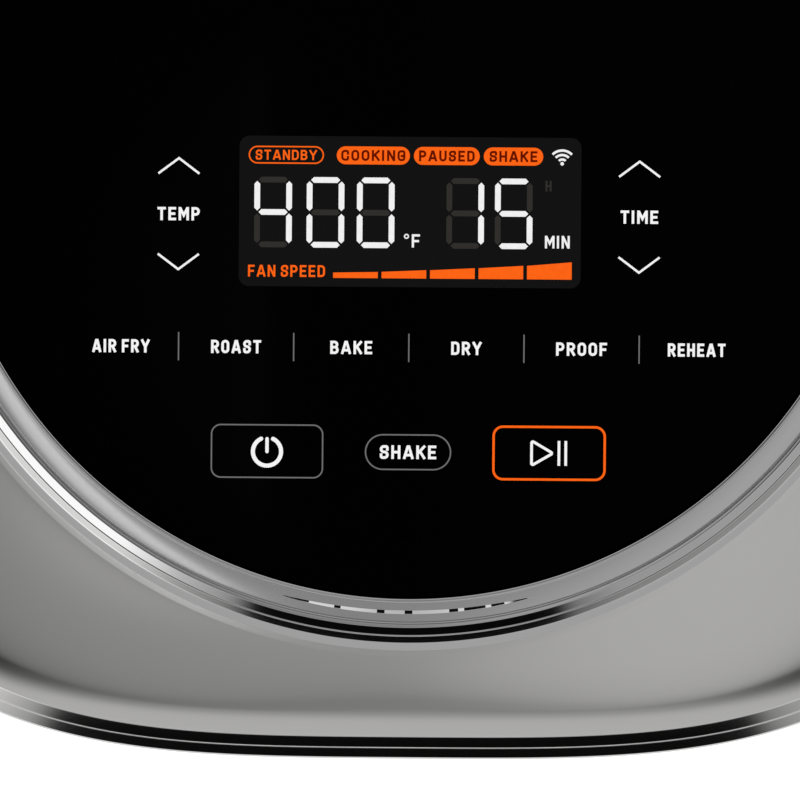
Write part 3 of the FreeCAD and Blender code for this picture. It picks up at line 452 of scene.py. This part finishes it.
def build_crescent():
    """The faceted crescent at the front of the ring: a bright strip that is a painted highlight, with dark
    facets on it that are painted dark reflections.
    """
    level = GLASS_TOP + 0.46 * MM
    bm = bmesh.new()
    crescent_strip(bm, *CRESCENT_ENDS, 0.88, 0.05 * MM, level, 0.26 * MM)
    finish_piece(make_object("crescent_painted_highlight", bm, CRESCENT_PAINTED_HIGHLIGHT, 20), "housing", "polished_ring")
    bm = bmesh.new()
    for start, end in PAINTED_DARK_REFLECTIONS:
        crescent_strip(bm, start, end, 0.80, 0.02 * MM, level + 0.09 * MM, 0.22 * MM)
    finish_piece(make_object("crescent_painted_dark_reflection", bm, CRESCENT_PAINTED_DARK_REFLECTION, 20), "housing", "polished_ring")


def build_glass():
    edge, top = GLASS_RADIUS, GLASS_TOP
    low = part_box("control_glass")[0].z
    profile = soften([
        (0.5 * MM, low, 0), (edge - 0.3 * MM, low, 0.2 * MM), (edge, low + 0.3 * MM, 0.2 * MM),
        (edge, top - 0.5 * MM, 0.4 * MM), (edge - 0.5 * MM, top, 0.4 * MM), (0.5 * MM, top, 0),
    ], 4)
    bm = bmesh.new()
    rows = rings(bm, [(radius, z, 0.0) for radius, z in profile], 360)
    bm.faces.new(rows[0])
    bm.faces.new(rows[-1])
    glass = make_object("panel_glass_disc", bm, GLASS, 30)
    finish_piece(glass, "housing", "panel_glass", "control_glass")


# ---------------------------------------------------------------- body, drawer front and handle


def body_half(z):
    """The body widens from its foot and is upright near the top."""
    share = min(1.0, max(0.0, (UPRIGHT_FROM - z) / (UPRIGHT_FROM - SHELL_LOW)))
    return BODY_HALF - (BODY_HALF - FOOT_HALF) * share ** WIDEN_POWER


def build_shell():
    """One wrap with a rolled top edge, cut for the drawer and the rear cover."""
    top, half, lip = SHELL_TOP, BODY_HALF, SEAM_HALF + 0.2 * MM
    heights = [SHELL_LOW + n * (top - 10 * MM - SHELL_LOW) / 40 for n in range(41)]
    outer = [(body_half(z), z, 1.0) for z in heights]
    roll = soften([
        (half, top - 10 * MM, 0), (half, top - 4.4 * MM, 1.2 * MM),
        (half - 0.3 * MM, top - 2.8 * MM, 0.7 * MM), (half - 0.75 * MM, top - 1.85 * MM, 0.25 * MM),
        (half - 2.9 * MM, top - 0.1 * MM, 0.15 * MM), (lip + 0.02 * MM, top, 0.08 * MM),
        (lip, top - 2 * MM, 0),
    ])
    outer += [(r, z, 1.0) for r, z in roll[1:]]
    inner = [(lip, top - 4 * MM, 1.0)]
    inner += [(body_half(z) - SHELL_WALL, z, 1.0) for z in reversed(heights)]
    bm = bmesh.new()
    rings(bm, outer + inner, 720, closed=True)
    shell = make_object("body_wrap", bm, SATIN, 40)
    mouth = cutter("mouth_cutter", *opening("drawer_front", 1 * MM), -0.2, -0.05, 3 * MM)
    rear = cutter("rear_cutter", *opening("rear_cover", 0.3 * MM), 0.1, 0.2, 12 * MM)
    carve(shell, [mouth, rear], 0.35 * MM)
    finish_piece(shell, "housing", "satin_metal", *SHELL_NODES)


def plan_depth(half, x):
    """How far the plan reaches along y at x."""
    return (half ** PLAN_POWER - abs(x) ** PLAN_POWER) ** (1 / PLAN_POWER)


def front_panel(name, low, high, thick):
    """A panel on the curve of the body's front between two corners in x and z."""
    columns, levels = 96, 64
    bm = bmesh.new()
    grids = []
    for depth in (0, thick):
        grid = []
        for i in range(levels + 1):
            z = low.z + (high.z - low.z) * i / levels
            row = []
            for j in range(columns + 1):
                x = low.x + (high.x - low.x) * j / columns
                row.append(bm.verts.new((x, -plan_depth(body_half(z) - depth, x), z)))
            grid.append(row)
        grids.append(grid)
    for grid in grids:
        for i in range(levels):
            for j in range(columns):
                bm.faces.new((grid[i][j], grid[i][j + 1], grid[i + 1][j + 1], grid[i + 1][j]))
    front, back = grids
    for i in range(levels):
        for j in (0, columns):
            bm.faces.new((front[i][j], front[i + 1][j], back[i + 1][j], back[i][j]))
    for j in range(columns):
        for i in (0, levels):
            bm.faces.new((front[i][j], front[i][j + 1], back[i][j + 1], back[i][j]))
    return make_object(name, bm, SATIN, 40)


def build_drawer_front():
    panel = front_panel("drawer_skin", *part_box("drawer_front"), SKIN)
    hole = cutter("pocket_cutter", *opening("handle_pocket", 0.2 * MM), -0.2, -0.1, 14 * MM)
    carve(panel, [hole], 0.3 * MM)
    finish_piece(panel, "drawer", "satin_metal", "drawer_front")


HANDLE_DEEP = 12 * MM
HANDLE_CORNER = 5.4 * MM
HANDLE_END = 3 * MM  # how far the closed ends are rounded
POST_X = 54 * MM
POST_RADIUS = 5.5 * MM


def build_handle():
    """The grab bar: a rounded section run along x, with softly closed ends and two posts."""
    low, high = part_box("handle_bar")
    middle_z, half_tall, length = (low.z + high.z) / 2, (high.z - low.z) / 2, high.x - low.x
    stations = [0.0, 0.6 * MM, 2 * MM, 5 * MM] + [12 * MM * n for n in range(1, 12)]
    stations = [s for s in stations if s < length / 2]
    stations += [length - s for s in reversed(stations)]
    bm = bmesh.new()
    rows = []
    for s in stations:
        inset = 0.0
        if min(s, length - s) < HANDLE_END:
            inset = HANDLE_END - math.sqrt(HANDLE_END ** 2 - (HANDLE_END - min(s, length - s)) ** 2)
        outline = round_outline(
            low.y + HANDLE_DEEP / 2, middle_z, HANDLE_DEEP / 2 - inset, half_tall - inset,
            HANDLE_CORNER - inset, 8,
        )
        rows.append([bm.verts.new((low.x + s, y, z)) for y, z in outline])
    tube(bm, rows)
    for x in (-POST_X, POST_X):
        add_post(bm, x, middle_z, low.y + HANDLE_DEEP - 1 * MM, high.y, POST_RADIUS)
    bar = make_object("grab_bar", bm, SATIN, 40)
    finish_piece(bar, "drawer", "handle_metal", "handle_bar")


def add_post(bm, x, z, start, end, radius, count=40):
    """A round post along y with a small flare where it meets its seat."""
    rows = []
    flare = ((end - 1.5 * MM, radius), (end - 0.4 * MM, radius + 0.5 * MM), (end, radius + 1 * MM))
    for y, r in ((start, radius), *flare):
        row = []
        for n in range(count):
            angle = 2 * math.pi * n / count
            row.append(bm.verts.new((x + r * math.cos(angle), y, z + r * math.sin(angle))))
        rows.append(row)
    tube(bm, rows)


# ---------------------------------------------------------------- panel print

PRINT_THICK = 0.04 * MM
WINDOW_LEVEL = GLASS_TOP + 0.01 * MM
PRINT_LEVEL = GLASS_TOP + 0.02 * MM
LIT_LEVEL = PRINT_LEVEL + 0.06 * MM  # what the display shows, above its window
PILL_TEXT_LEVEL = LIT_LEVEL + 0.05 * MM


def ribbon(bm, points, width, base, closed=False, caps=0.0):
    """A flat band of constant width along points in the panel's plane, as a thin solid."""
    points = [Vector(p) for p in points]
    if not closed and caps:
        points[0] = points[0] + (points[0] - points[1]).normalized() * caps
        points[-1] = points[-1] + (points[-1] - points[-2]).normalized() * caps
    count = len(points)
    left, right = [], []
    for n, point in enumerate(points):
        before = points[n - 1] if n or closed else None
        after = points[(n + 1) % count] if n < count - 1 or closed else None
        ways = []
        if before is not None:
            ways.append((point - before).normalized())
        if after is not None:
            ways.append((after - point).normalized())
        tangent = sum(ways, Vector((0, 0))).normalized()
        normal = Vector((-tangent.y, tangent.x))
        stretch = 1 / max(0.35, abs(normal.dot(Vector((-ways[0].y, ways[0].x)))))
        left.append(point + normal * (width / 2 * stretch))
        right.append(point - normal * (width / 2 * stretch))
    band(bm, left, right, base, closed)


def band(bm, left, right, base, closed):
    """A thin solid between two lines of points; a closed one has no ends."""
    levels = []
    for z in (base, base + PRINT_THICK):
        levels.append([[bm.verts.new((p.x, p.y, z)) for p in side] for side in (left, right)])
    (low_l, low_r), (high_l, high_r) = levels
    count = len(left)
    for n in range(count if closed else count - 1):
        m = (n + 1) % count
        bm.faces.new((high_l[n], high_r[n], high_r[m], high_l[m]))
        bm.faces.new((low_l[n], low_l[m], low_r[m], low_r[n]))
        bm.faces.new((low_l[n], high_l[n], high_l[m], low_l[m]))
        bm.faces.new((low_r[n], low_r[m], high_r[m], high_r[n]))
    if not closed:
        bm.faces.new((low_l[0], low_r[0], high_r[0], high_l[0]))
        bm.faces.new((low_l[-1], high_l[-1], high_r[-1], low_r[-1]))


def filled(bm, outline, base):
    """A flat solid inside an outline."""
    tube(bm, [[bm.verts.new((x, y, z)) for x, y in outline] for z in (base, base + PRINT_THICK)])


def dot_outline(spot, radius, count=24):
    x, y = spot
    turns = [2 * math.pi / count * n for n in range(count)]
    return [(x + radius * math.cos(turn), y + radius * math.sin(turn)) for turn in turns]


def mm(*values):
    return tuple(v * MM for v in values)


def pill(cx, cy, wide, tall, radius=None):
    """A rounded box, in mm; without a radius its ends are half circles."""
    radius = tall / 2 - 0.001 if radius is None else radius
    return [mm(*p) for p in round_outline(cx, cy, wide / 2, tall / 2, radius, 12)]


def round_corners(points, closed):
    """Points of (x, y) or (x, y, radius); a radius turns the corner into an arc."""
    found = []
    count = len(points)
    for n, point in enumerate(points):
        here = Vector(point[:2])
        radius = point[2] if len(point) > 2 else 0
        if not radius or (not closed and n in (0, count - 1)):
            found.append(here)
            continue
        before, after = Vector(points[n - 1][:2]), Vector(points[(n + 1) % count][:2])
        back, ahead = (before - here), (after - here)
        half_angle = back.angle(ahead) / 2
        reach = min(radius / math.tan(half_angle), back.length / 2, ahead.length / 2)
        back.normalize()
        ahead.normalize()
        a, b = here + back * reach, here + ahead * reach
        inner = reach * math.tan(half_angle)
        centre = here + (back + ahead).normalized() * (inner / math.sin(half_angle))
        start = math.atan2(a.y - centre.y, a.x - centre.x)
        turn = math.atan2(b.y - centre.y, b.x - centre.x) - start
        turn = (turn + math.pi) % (2 * math.pi) - math.pi
        for step in range(9):
            angle = start + turn * step / 8
            found.append(centre + Vector((math.cos(angle), math.sin(angle))) * inner)
    same = 0.005 * MM
    kept = [p for n, p in enumerate(found) if n == 0 or (p - found[n - 1]).length > same]
    if closed and (kept[0] - kept[-1]).length < same:
        kept.pop()
    return kept


# Each letter: its width over its height, then strokes in a unit square; a third number rounds that corner.
# A stroke that starts with "loop" is closed.
LETTERS = {
    "A": (0.58, [(0, 0), (0.42, 1), (0.58, 1), (1, 0)], [(0.15, 0.24), (0.85, 0.24)]),
    "B": (0.46, ["loop", (0, 0), (1, 0, 0.22), (1, 0.52, 0.22), (0, 0.52)],
          ["loop", (0, 0.52), (0.93, 0.52, 0.2), (0.93, 1, 0.2), (0, 1)]),
    "C": (0.46, [(1, 0.7), (1, 1, 0.24), (0, 1, 0.24), (0, 0, 0.24), (1, 0, 0.24), (1, 0.3)]),
    "D": (0.47, ["loop", (0, 0), (1, 0, 0.26), (1, 1, 0.26), (0, 1)]),
    "E": (0.40, [(1, 1), (0, 1), (0, 0), (1, 0)], [(0, 0.5), (0.85, 0.5)]),
    "F": (0.39, [(1, 1), (0, 1), (0, 0)], [(0, 0.48), (0.85, 0.48)]),
    "G": (0.47, [(1, 0.7), (1, 1, 0.24), (0, 1, 0.24), (0, 0, 0.24), (1, 0, 0.24), (1, 0.46), (0.55, 0.46)]),
    "H": (0.47, [(0, 0), (0, 1)], [(1, 0), (1, 1)], [(0, 0.5), (1, 0.5)]),
    "I": (0.0, [(0, 0), (0, 1)]),
    "K": (0.47, [(0, 0), (0, 1)], [(1, 1), (0.08, 0.42)], [(0.34, 0.6), (1, 0)]),
    "M": (0.62, [(0, 0), (0, 1), (0.06, 1), (0.5, 0.36), (0.94, 1), (1, 1), (1, 0)]),
    "N": (0.49, [(0, 0), (0, 1), (0.08, 1), (0.92, 0), (1, 0), (1, 1)]),
    "O": (0.47, ["loop", (0, 0, 0.24), (1, 0, 0.24), (1, 1, 0.24), (0, 1, 0.24)]),
    "P": (0.45, [(0, 0), (0, 1), (1, 1, 0.23), (1, 0.44, 0.23), (0, 0.44)]),
    "R": (0.46, [(0, 0), (0, 1), (1, 1, 0.23), (1, 0.46, 0.23), (0, 0.46)], [(0.5, 0.46), (1, 0)]),
    "S": (0.45, [(1, 0.74), (1, 1, 0.22), (0, 1, 0.22), (0, 0.52, 0.22), (1, 0.5, 0.22), (1, 0, 0.22),
                 (0, 0, 0.22), (0, 0.26)]),
    "T": (0.46, [(0, 1), (1, 1)], [(0.5, 0), (0.5, 1)]),
    "U": (0.47, [(0, 1), (0, 0, 0.24), (1, 0, 0.24), (1, 1)]),
    "Y": (0.54, [(0, 1), (0.5, 0.42), (1, 1)], [(0.5, 0), (0.5, 0.42)]),
}
LETTER_GAP = 0.17
SPACE_SIDE = 0.21  # the gap on either side of a space


def write(bm, text, centre, height, width=None, weight=0.19, base=PRINT_LEVEL):
    """Draws a word centred on a point; width, if given, is the word's full width."""
    thick = weight * height
    tall = height - thick
    widths = [0 if c == " " else LETTERS[c][0] * tall + thick for c in text]
    gaps = [(SPACE_SIDE if " " in text[n:n + 2] else LETTER_GAP) * height for n in range(len(text) - 1)]
    natural = sum(widths) + sum(gaps)
    squeeze = 1.0 if width is None else width / natural
    x = centre[0] - natural * squeeze / 2
    for n, character in enumerate(text):
        if character != " ":
            wide = widths[n] * squeeze - thick
            for stroke in LETTERS[character][1:]:
                closed = stroke[0] == "loop"
                points = stroke[1:] if closed else stroke
                placed = []
                for px, py, *radius in points:
                    spot = (x + thick / 2 + px * wide, centre[1] - tall / 2 + py * tall)
                    placed.append((*spot, *(r * height for r in radius)))
                line = round_corners(placed, closed)
                ribbon(bm, line, thick, base, closed, 0 if closed else thick / 2)
        x += widths[n] * squeeze + (gaps[n] * squeeze if n < len(gaps) else 0)


def print_layer(name, material, draw):
    bm = bmesh.new()
    draw(bm)
    finish_piece(make_object(name, bm, material, 0), "housing", "panel_glass")


# The display, in mm from the middle of the glass.
DISPLAY_X, DISPLAY_Y = 0.05, -20.2
DISPLAY_WIDE, DISPLAY_DEEP, DISPLAY_CORNER = 80.0, 35.2, 2.4
DIGIT_WIDE, DIGIT_TALL, SEGMENT, SEGMENT_GAP = 8.8, 16.5, 1.34, 0.32
DIGIT_Y = -20.45
DIGITS = (("4", -32.0), ("0", -19.75), ("0", -8.0), ("1", 12.95), ("5", 24.3))
SEGMENTS = {"0": "abcdef", "1": "bc", "4": "bcfg", "5": "acdfg"}


def segment_outline(letter, x, y):
    """One bar of a seven-bar digit centred on x, y."""
    half_w, half_h, t = DIGIT_WIDE / 2 - SEGMENT / 2, DIGIT_TALL / 2 - SEGMENT / 2, SEGMENT / 2
    flat = {"a": half_h, "g": 0.0, "d": -half_h}
    if letter in flat:
        mid = y + flat[letter]
        left, right = x - half_w + SEGMENT_GAP, x + half_w - SEGMENT_GAP
        return [
            (left, mid), (left + t, mid - t), (right - t, mid - t),
            (right, mid), (right - t, mid + t), (left + t, mid + t),
        ]
    side = 1 if letter in "bc" else -1
    low, high = (0.0, half_h) if letter in "bf" else (-half_h, 0.0)
    mid = x + side * half_w
    low, high = y + low + SEGMENT_GAP, y + high - SEGMENT_GAP
    return [
        (mid, low), (mid + t, low + t), (mid + t, high - t),
        (mid, high), (mid - t, high - t), (mid - t, low + t),
    ]


def draw_digits(bm, lit):
    for digit, x in DIGITS:
        for letter in "abcdefg":
            if (letter in SEGMENTS[digit]) == lit:
                outline = segment_outline(letter, x, DIGIT_Y)
                filled(bm, [mm(*p) for p in outline], LIT_LEVEL)


def build_panel():
    """The window, digits, status pills and key legends, all thin prints on the glass."""
    print_layer("display_window_painted_glow", WINDOW_PAINTED_GLOW, lambda bm: filled(
        bm, pill(DISPLAY_X, DISPLAY_Y, DISPLAY_WIDE, DISPLAY_DEEP, DISPLAY_CORNER), WINDOW_LEVEL))
    print_layer("digits_lit", LIT_WHITE, lambda bm: draw_digits(bm, True))
    print_layer("digits_unlit", UNLIT_PAINTED_GLOW, lambda bm: draw_digits(bm, False))
    print_layer("status_lit", ORANGE, draw_status)
    print_layer("status_lettering", DARK_RED, draw_status_lettering)
    print_layer("units_lit", LIT_WHITE, draw_units)
    print_layer("unit_unlit", UNLIT_PAINTED_GLOW, lambda bm: write(
        bm, "H", mm(32.4, -13.9), 2.5 * MM, None, 0.18, LIT_LEVEL))
    print_layer("key_legends", PRINT_WHITE_PAINTED_GLOW, draw_legends)
    print_layer("key_outlines", PRINT_GREY_PAINTED_GLOW, draw_outlines)
    print_layer("start_outline", ORANGE, draw_start)


# Each pill: its word, its middle in x, its width and the word's width.
STATUS = (("COOKING", -8.65, 17.1, 15.0), ("PAUSED", 8.55, 15.4, 13.0), ("SHAKE", 24.15, 13.9, 11.2))
STATUS_Y = -7.05
FAN_BARS = ((1.25, 1.45), (1.5, 1.95), (1.95, 2.5), (2.5, 3.15), (3.15, 4.05))  # height at each end


def draw_status(bm):
    outline = pill(-29.0, STATUS_Y, 17.3, 3.85)
    ribbon(bm, outline, 0.32 * MM, LIT_LEVEL, closed=True)
    write(bm, "STANDBY", mm(-29.0, STATUS_Y), 2.35 * MM, 14.3 * MM, 0.17, LIT_LEVEL)
    for _, x, wide, _ in STATUS:
        filled(bm, pill(x, STATUS_Y, wide, 4.2), LIT_LEVEL)
    write(bm, "FAN SPEED", mm(-28.75, -34.2), 2.75 * MM, 18.0 * MM, 0.17, LIT_LEVEL)
    left, pitch, wide, low = -17.85, 11.34, 10.45, -35.75
    for n, (a, b) in enumerate(FAN_BARS):
        x = left + pitch * n
        filled(bm, [mm(x, low), mm(x + wide, low), mm(x + wide, low + b), mm(x, low + a)], LIT_LEVEL)


def draw_status_lettering(bm):
    for word, x, _, width in STATUS:
        write(bm, word, mm(x, STATUS_Y), 2.55 * MM, width * MM, 0.2, PILL_TEXT_LEVEL)


def draw_units(bm):
    write(bm, "MIN", mm(34.55, -27.0), 2.95 * MM, 5.8 * MM, 0.17, LIT_LEVEL)
    write(bm, "F", mm(1.45, -26.95), 3.1 * MM, 1.9 * MM, 0.17, LIT_LEVEL)
    ribbon(bm, dot_outline(mm(-0.75, -25.9), 0.45 * MM), 0.3 * MM, LIT_LEVEL, closed=True)
    foot = (35.55, -8.75)
    for radius in (1.1, 2.15, 3.2):
        arc = []
        for step in range(17):
            angle = math.radians(45 + 90 * step / 16)
            arc.append(mm(foot[0] + radius * math.cos(angle), foot[1] + radius * math.sin(angle)))
        ribbon(bm, arc, 0.55 * MM, LIT_LEVEL)
    filled(bm, dot_outline(mm(foot[0], foot[1] + 0.1), 0.42 * MM), LIT_LEVEL)


# The legends, in mm from the middle of the glass; a preset's number is its word's width.
PRESETS = (
    ("AIR FRY", 13.4), ("ROAST", 11.7), ("BAKE", 9.8), ("DRY", 7.1), ("PROOF", 11.9), ("REHEAT", 13.5),
)
PRESET_PITCH = 26.94
PRESET_Y = -52.0
ADJUST_Y = -21.0
KEY_X, KEY_Y = 33.0, -76.4
KEY_SIZE = (26.0, 12.3, 2.2)  # wide, deep, corner


def draw_legends(bm):
    for n, (word, width) in enumerate(PRESETS):
        write(bm, word, mm(PRESET_PITCH * (n - 2.5), PRESET_Y), 3.1 * MM, width * MM)
    for word, x, width in (("TEMP", -54.1, 9.9), ("TIME", 53.7, 8.8)):
        write(bm, word, mm(x, ADJUST_Y), 3.1 * MM, width * MM)
        for way in (1, -1):
            end, apex = ADJUST_Y + way * 9.4, ADJUST_Y + way * 13.0
            ribbon(bm, [mm(x - 4.8, end), mm(x, apex), mm(x + 4.8, end)], 0.5 * MM, PRINT_LEVEL)
    write(bm, "SHAKE", mm(0, KEY_Y), 3.2 * MM, 13.2 * MM)
    power = []
    for step in range(33):
        angle = math.radians(115 + 310 * step / 32)
        power.append(mm(-KEY_X + 3.3 * math.cos(angle), KEY_Y - 0.1 + 3.3 * math.sin(angle)))
    ribbon(bm, power, 0.95 * MM, PRINT_LEVEL)
    bar = [mm(-KEY_X, KEY_Y - 0.1), mm(-KEY_X, KEY_Y + 2.9)]
    ribbon(bm, bar, 0.78 * MM, PRINT_LEVEL)
    for spot, size in ((power[0], 0.95), (power[-1], 0.95), (bar[0], 0.78), (bar[1], 0.78)):
        filled(bm, dot_outline(spot, size / 2 * MM), PRINT_LEVEL)
    corners = ((-4.1, -2.9), (0.9, 0.0), (-4.1, 2.9))
    triangle = round_corners([mm(KEY_X + x, KEY_Y + y, 0.3) for x, y in corners], True)
    ribbon(bm, triangle, 0.62 * MM, PRINT_LEVEL, closed=True)
    for x in (2.3, 3.9):
        ribbon(bm, [mm(KEY_X + x, KEY_Y - 2.9), mm(KEY_X + x, KEY_Y + 2.9)], 0.62 * MM, PRINT_LEVEL)


def draw_outlines(bm):
    ribbon(bm, pill(-KEY_X, KEY_Y, *KEY_SIZE), 0.32 * MM, PRINT_LEVEL, closed=True)
    ribbon(bm, pill(0, KEY_Y, 19.9, 8.1), 0.32 * MM, PRINT_LEVEL, closed=True)
    for n in range(5):
        x = PRESET_PITCH * (n - 2)
        ribbon(bm, [mm(x, PRESET_Y - 3.3), mm(x, PRESET_Y + 3.3)], 0.3 * MM, PRINT_LEVEL)


def draw_start(bm):
    ribbon(bm, pill(KEY_X, KEY_Y, *KEY_SIZE), 0.55 * MM, PRINT_LEVEL, closed=True)


# ---------------------------------------------------------------- stage, light and camera

CAMERA_HEIGHT = 0.900  # above the glass
CAMERA_SPOT = (-0.00197, -0.0642)
CAMERA_TURN = 0.44  # degrees about Z
PIXELS_PER_METRE = 4274.1  # at the glass
PICTURE_WIDE = 800  # pixels
SENSOR_WIDE = 36  # mm
FLOOR_RADIUS = 6.0


def build_floor():
    bm = bmesh.new()
    bm.faces.new([bm.verts.new((x, y, 0)) for x, y in dot_outline((0, 0), FLOOR_RADIUS, 96)])
    material, tree, shader = new_material("studio_floor")
    noise = object_noise(tree, 30.0)
    color = tint(tree, noise.outputs["Fac"], (0.86, 0.86, 0.86), (0.9, 0.9, 0.9))
    link(tree, color, shader.inputs["Base Color"])
    shader.inputs["Roughness"].default_value = 0.9
    shader.inputs["Specular IOR Level"].default_value = 0.1
    shader.inputs["Emission Color"].default_value = (1, 1, 1, 1)
    shader.inputs["Emission Strength"].default_value = 1.0
    floor = make_object("studio_floor", bm, material, 0)
    floor.visible_glossy = False


# The light by direction. These tables run over degrees from straight up.
OVERHEAD = ((0, 1.0), (12, 0.97), (21, 0.85), (29, 0.62), (37, 0.0))
MIDDLE = ((27, 0.0), (32, 0.12), (39, 0.66), (58, 0.70), (66, 0.0))
HORIZON = ((58, 0.0), (66, 1.0), (118, 1.0), (126, 0.0))
BELOW = ((118, 0.0), (126, 1.0))
CARD = ((0, 1.0), (6.2, 1.0), (7.6, 0.0))

# The tables of sides run from the left (-1) to the right (1): over the direction's own x for the overhead
# light and the card, over its heading for the horizon, where they shape the front half only.
OVERHEAD_SIDES = (
    (-0.50, 0.10), (-0.32, 0.12), (-0.22, 0.29), (-0.12, 0.39), (-0.05, 0.43), (0.00, 0.41), (0.05, 0.62),
    (0.10, 0.70), (0.18, 0.67), (0.24, 0.42), (0.32, 0.16), (0.50, 0.13),
)
HORIZON_SIDES = (
    (-1.0, 1.9), (-0.60, 1.9), (-0.48, 0.9), (-0.37, 0.5), (-0.32, 0.004), (0.32, 0.004), (0.36, 0.35),
    (0.45, 0.58), (1.0, 0.7),
)
HORIZON_BEHIND = 0.6
# A bright card near overhead, on the left, for the flat land of the ring.
CARD_SIDES = ((-1.0, 0.7), (-0.075, 0.65), (-0.062, 1.2), (-0.054, 0.0))
# The middle light starts further from overhead towards the sides: by x squared, up to BOW_LIMIT, times
# this many degrees, so by up to about 7.
MIDDLE_BOW = 65
BOW_LIMIT = 0.11


def build_world():
    """An overhead cloth, brighter right of the middle, a card, panels lower down and black in front."""
    world = bpy.data.worlds.new("studio")
    bpy.context.scene.world = world
    world.use_nodes = True
    tree = world.node_tree
    background = tree.nodes["Background"]
    background.inputs["Color"].default_value = (1, 1, 1, 1)
    place = add_node(tree, "ShaderNodeTexCoord")
    axes = add_node(tree, "ShaderNodeSeparateXYZ")
    link(tree, place.outputs["Generated"], axes.inputs["Vector"])

    def maths(operation, a, b=None):
        node = add_node(tree, "ShaderNodeMath", operation=operation)
        for socket, value in zip(node.inputs, (a, b)):
            if isinstance(value, (int, float)):
                socket.default_value = value
            elif value is not None:
                link(tree, value, socket)
        return node.outputs["Value"]

    def curve(source, stops, low, high, top):
        """Straight lines through the stops; the source runs from low to high, values up to top."""
        node = add_node(tree, "ShaderNodeValToRGB")
        elements = node.color_ramp.elements
        for n, (at, value) in enumerate(stops):
            spot = (at - low) / (high - low)
            stop = elements[n] if n < 2 else elements.new(spot)
            stop.position = spot
            stop.color = (value / top, value / top, value / top, 1)
        scaled = maths("DIVIDE", maths("SUBTRACT", source, low), high - low)
        link(tree, scaled, node.inputs["Fac"])
        return maths("MULTIPLY", node.outputs["Color"], top)

    polar = maths("MULTIPLY", maths("ARCCOSINE", axes.outputs["Z"]), 180 / math.pi)
    east = axes.outputs["X"]
    east_squared = maths("MULTIPLY", east, east)
    north_squared = maths("MULTIPLY", axes.outputs["Y"], axes.outputs["Y"])
    flat = maths("SQRT", maths("ADD", east_squared, north_squared))
    front = maths("LESS_THAN", axes.outputs["Y"], 0.0)
    heading = maths("DIVIDE", east, maths("MAXIMUM", flat, 0.001))
    round_about = curve(heading, HORIZON_SIDES, -1, 1, 2)
    behind = maths("MULTIPLY", maths("SUBTRACT", 1.0, front), HORIZON_BEHIND)
    horizon = maths("ADD", maths("MULTIPLY", round_about, front), behind)
    overhead = maths("MULTIPLY", curve(polar, OVERHEAD, 0, 180, 1), curve(east, OVERHEAD_SIDES, -1, 1, 1))
    bow = maths("MULTIPLY", maths("MINIMUM", east_squared, BOW_LIMIT), MIDDLE_BOW)
    bowed = maths("SUBTRACT", polar, bow)
    light = maths("ADD", overhead, curve(bowed, MIDDLE, 0, 180, 1))
    light = maths("ADD", light, maths("MULTIPLY", curve(polar, HORIZON, 0, 180, 1), horizon))
    light = maths("ADD", light, curve(polar, BELOW, 0, 180, 1))
    card = maths("MULTIPLY", curve(polar, CARD, 0, 180, 1), curve(east, CARD_SIDES, -1, 1, 2))
    light = maths("ADD", light, card)
    link(tree, light, background.inputs["Strength"])

    seen = add_node(tree, "ShaderNodeLightPath")
    plain = add_node(tree, "ShaderNodeBackground")
    plain.inputs["Color"].default_value = (0.9, 0.9, 0.9, 1)
    mix = add_node(tree, "ShaderNodeMixShader")
    link(tree, seen.outputs["Is Camera Ray"], mix.inputs[0])
    link(tree, background.outputs["Background"], mix.inputs[1])
    link(tree, plain.outputs["Background"], mix.inputs[2])
    link(tree, mix.outputs["Shader"], tree.nodes["World Output"].inputs["Surface"])


def build_camera():
    data = bpy.data.cameras.new("camera")
    data.sensor_width = SENSOR_WIDE
    data.lens = PIXELS_PER_METRE * CAMERA_HEIGHT * SENSOR_WIDE / PICTURE_WIDE
    data.clip_end = 50
    camera = bpy.data.objects.new("camera", data)
    camera.location = (*CAMERA_SPOT, GLASS_TOP + CAMERA_HEIGHT)
    camera.rotation_euler = (0, 0, math.radians(CAMERA_TURN))
    bpy.context.scene.collection.objects.link(camera)
    bpy.context.scene.camera = camera


bpy.context.scene.view_settings.view_transform = "Standard"
build_camera()
build_world()
build_floor()
finish_cad_nodes()
build_cover()
build_ring()
build_crescent()
build_glass()
build_shell()
build_drawer_front()
build_handle()
build_panel()
